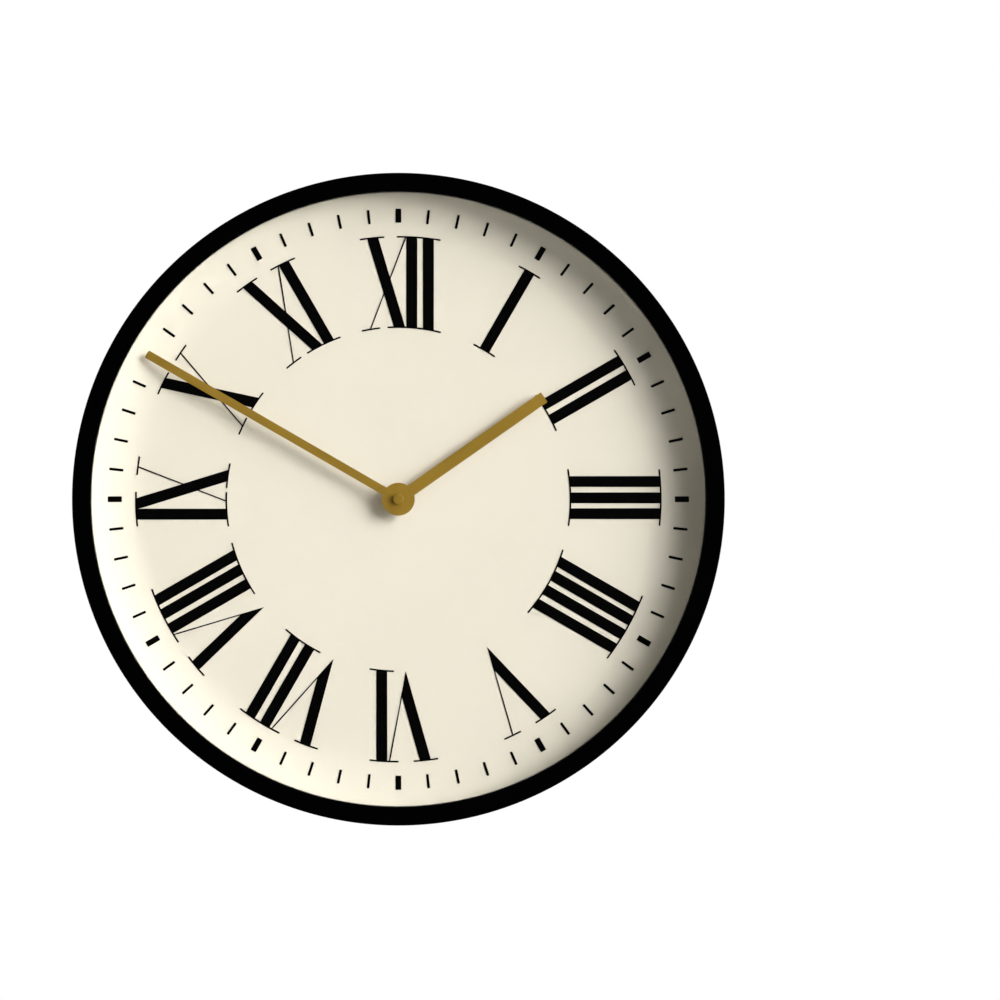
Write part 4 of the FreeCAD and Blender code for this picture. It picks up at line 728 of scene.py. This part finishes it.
def make_hand_nut():
    """Round cap nut with a rounded crown, closed in front."""
    outline = rounded([
        (THREAD_R, MINUTE_FRONT, 0.0), (NUT_R, MINUTE_FRONT, 0.1), (NUT_R, NUT_FRONT, 0.6),
        (0.0, NUT_FRONT, 0.0), (0.0, NUT_FLOOR, 0.0), (THREAD_R, NUT_FLOOR, 0.0),
    ])
    as_piece("nut_turned", lathe(outline, 96), hand_metal("nut_gold_look", 0.0, 0.40),
             "minute_hand_group", ["hand_nut"])


def make_battery(looks):
    """AA cell: sleeve rolled over both ends, steel cap with its nub, and the flat base."""
    half = CELL_HALF

    def place(radius, turn, x):
        back = radius * math.sin(turn) - CELL_HEIGHT
        return Vector((x, back, radius * math.cos(turn) - CELL_DROP)) * MM

    sleeve = rounded([
        (5.6, -half + 0.25, 0.1), (5.6, -half, 0.1), (7.25, -half, 0.55),
        (7.25, half - 1.0, 0.55), (4.3, half - 1.0, 0.15), (4.3, half - 1.35, 0.1),
        (6.6, half - 1.6, 0.2), (6.6, -half + 0.6, 0.2),
    ])
    cap = rounded([
        (0.0, half - 1.7, 0.0), (4.2, half - 1.7, 0.0), (4.2, half - 1.25, 0.2),
        (2.75, half - 1.1, 0.3), (2.75, half, 0.45), (0.0, half, 0.0),
    ])
    base = rounded([
        (0.0, -half + 0.15, 0.0), (5.4, -half + 0.15, 0.25), (5.4, -half + 0.5, 0.1),
        (0.0, -half + 0.5, 0.0),
    ])
    metal = turned_metal("cell_metal_look", (0.70, 0.69, 0.66), 0.24,
                         (-CELL_HEIGHT * MM, -CELL_DROP * MM), "X")
    as_piece("battery_sleeve", lathe(sleeve, 96, place), looks["cell_sleeve"], "battery",
             ["battery_cell"])
    as_piece("battery_cap", lathe(cap, 96, place), metal, "battery")
    as_piece("battery_base", lathe(base, 96, place), metal, "battery")


def oblong(left, low, right, high):
    """Outline of a rectangle."""
    return [(left, low), (right, low), (right, high), (left, high)]


def make_moulded_marks(looks):
    """Raised polarity signs and a turning arrow, moulded on the back of the movement."""
    back, front, soft = 37.7, 38.05, 0.08
    marks = prism([oblong(20.2, -8.9, 23.8, -8.1)], back, front, soft)
    join(marks, prism([oblong(21.6, -10.3, 22.4, -6.7)], back + 0.01, front, soft))
    join(marks, prism([oblong(-23.8, -8.9, -20.2, -8.1)], back, front, soft))
    outer = [clock_point(8.1, angle) for angle in range(-60, 241, 6)]
    inner = [clock_point(7.5, angle) for angle in range(240, -61, -6)]
    knob_x = 10.8
    join(marks, prism([[(knob_x + x, z) for x, z in outer + inner]], back, front, soft))
    tip = [clock_point(7.8, 268.0), clock_point(9.2, 240.0), clock_point(6.4, 240.0)]
    join(marks, prism([[(knob_x + x, z) for x, z in tip]], back - 0.01, front, 0.06))
    as_piece("moulded_marks", marks, looks["movement_plastic"], "clock")


def make_cover_ribs(looks):
    """Shallow stiffening ribs moulded on the outside of the back cover."""
    back, front = 4.3, 5.6
    inner, outer = 58.0, 132.0
    rings = []
    for radius in (inner, outer):
        outline = rounded([
            (radius - 1.4, front, 0.0), (radius - 0.9, back, 0.4), (radius + 0.9, back, 0.4),
            (radius + 1.4, front, 0.0),
        ])
        rings.append(lathe(outline, 256))
    ribs = rings[0]
    join(ribs, rings[1])
    for turn in range(12):
        bar = oblong(-1.0, inner + 0.8, 1.0, outer - 0.8)
        join(ribs, prism([bar], front, back + 0.1, 0.45, 3, 30.0 * turn))
    as_piece("cover_ribs", ribs, looks["back_plastic"], "clock")


def dress_nodes(looks):
    """Give each CAD node that stays its finished material."""
    for part in frame["record"]["subparts"]:
        node = frame["nodes"][part["node"]]
        for spot in range(len(node.data.materials)):
            node.data.materials[spot] = looks[part["material_slot"]]


def spread_ink():
    """Let the printed strokes spread a little past the stencil, as wet ink does."""
    for name in ("dial_numerals", "dial_minute_track"):
        node = frame["nodes"][name]
        weld = node.modifiers.new("weld", "WELD")
        weld.merge_threshold = 0.000002
        spread = node.modifiers.new("spread", "DISPLACE")
        spread.mid_level = 0.0
        spread.strength = INK_SPREAD


def make_floor():
    """Pale floor below the front view; only the camera sees it, so it doesn't light the clock."""
    made = bmesh.new()
    bmesh.ops.create_circle(made, cap_ends=True, segments=128, radius=FLOOR_R)
    mesh = bpy.data.meshes.new("floor")
    made.to_mesh(mesh)
    made.free()
    mesh.materials.append(floor_look())
    floor = bpy.data.objects.new("floor", mesh)
    floor.location = (0.0, 0.0, FLOOR_Z)
    floor.visible_diffuse = False
    floor.visible_glossy = False
    floor.visible_transmission = False
    floor.visible_shadow = False
    bpy.context.scene.collection.objects.link(floor)


def main():
    make_camera()
    make_world()
    for sun in SUNS:
        make_sun(*sun)
    make_floor()
    scene = bpy.context.scene
    scene.view_settings.view_transform = "Standard"
    scene.view_settings.look = "None"
    looks = make_looks()
    dress_nodes(looks)
    spread_ink()
    make_case(looks)
    make_dial(looks)
    make_glass(looks)
    make_hands()
    make_hand_nut()
    make_battery(looks)
    make_moulded_marks(looks)
    make_cover_ribs(looks)


main()
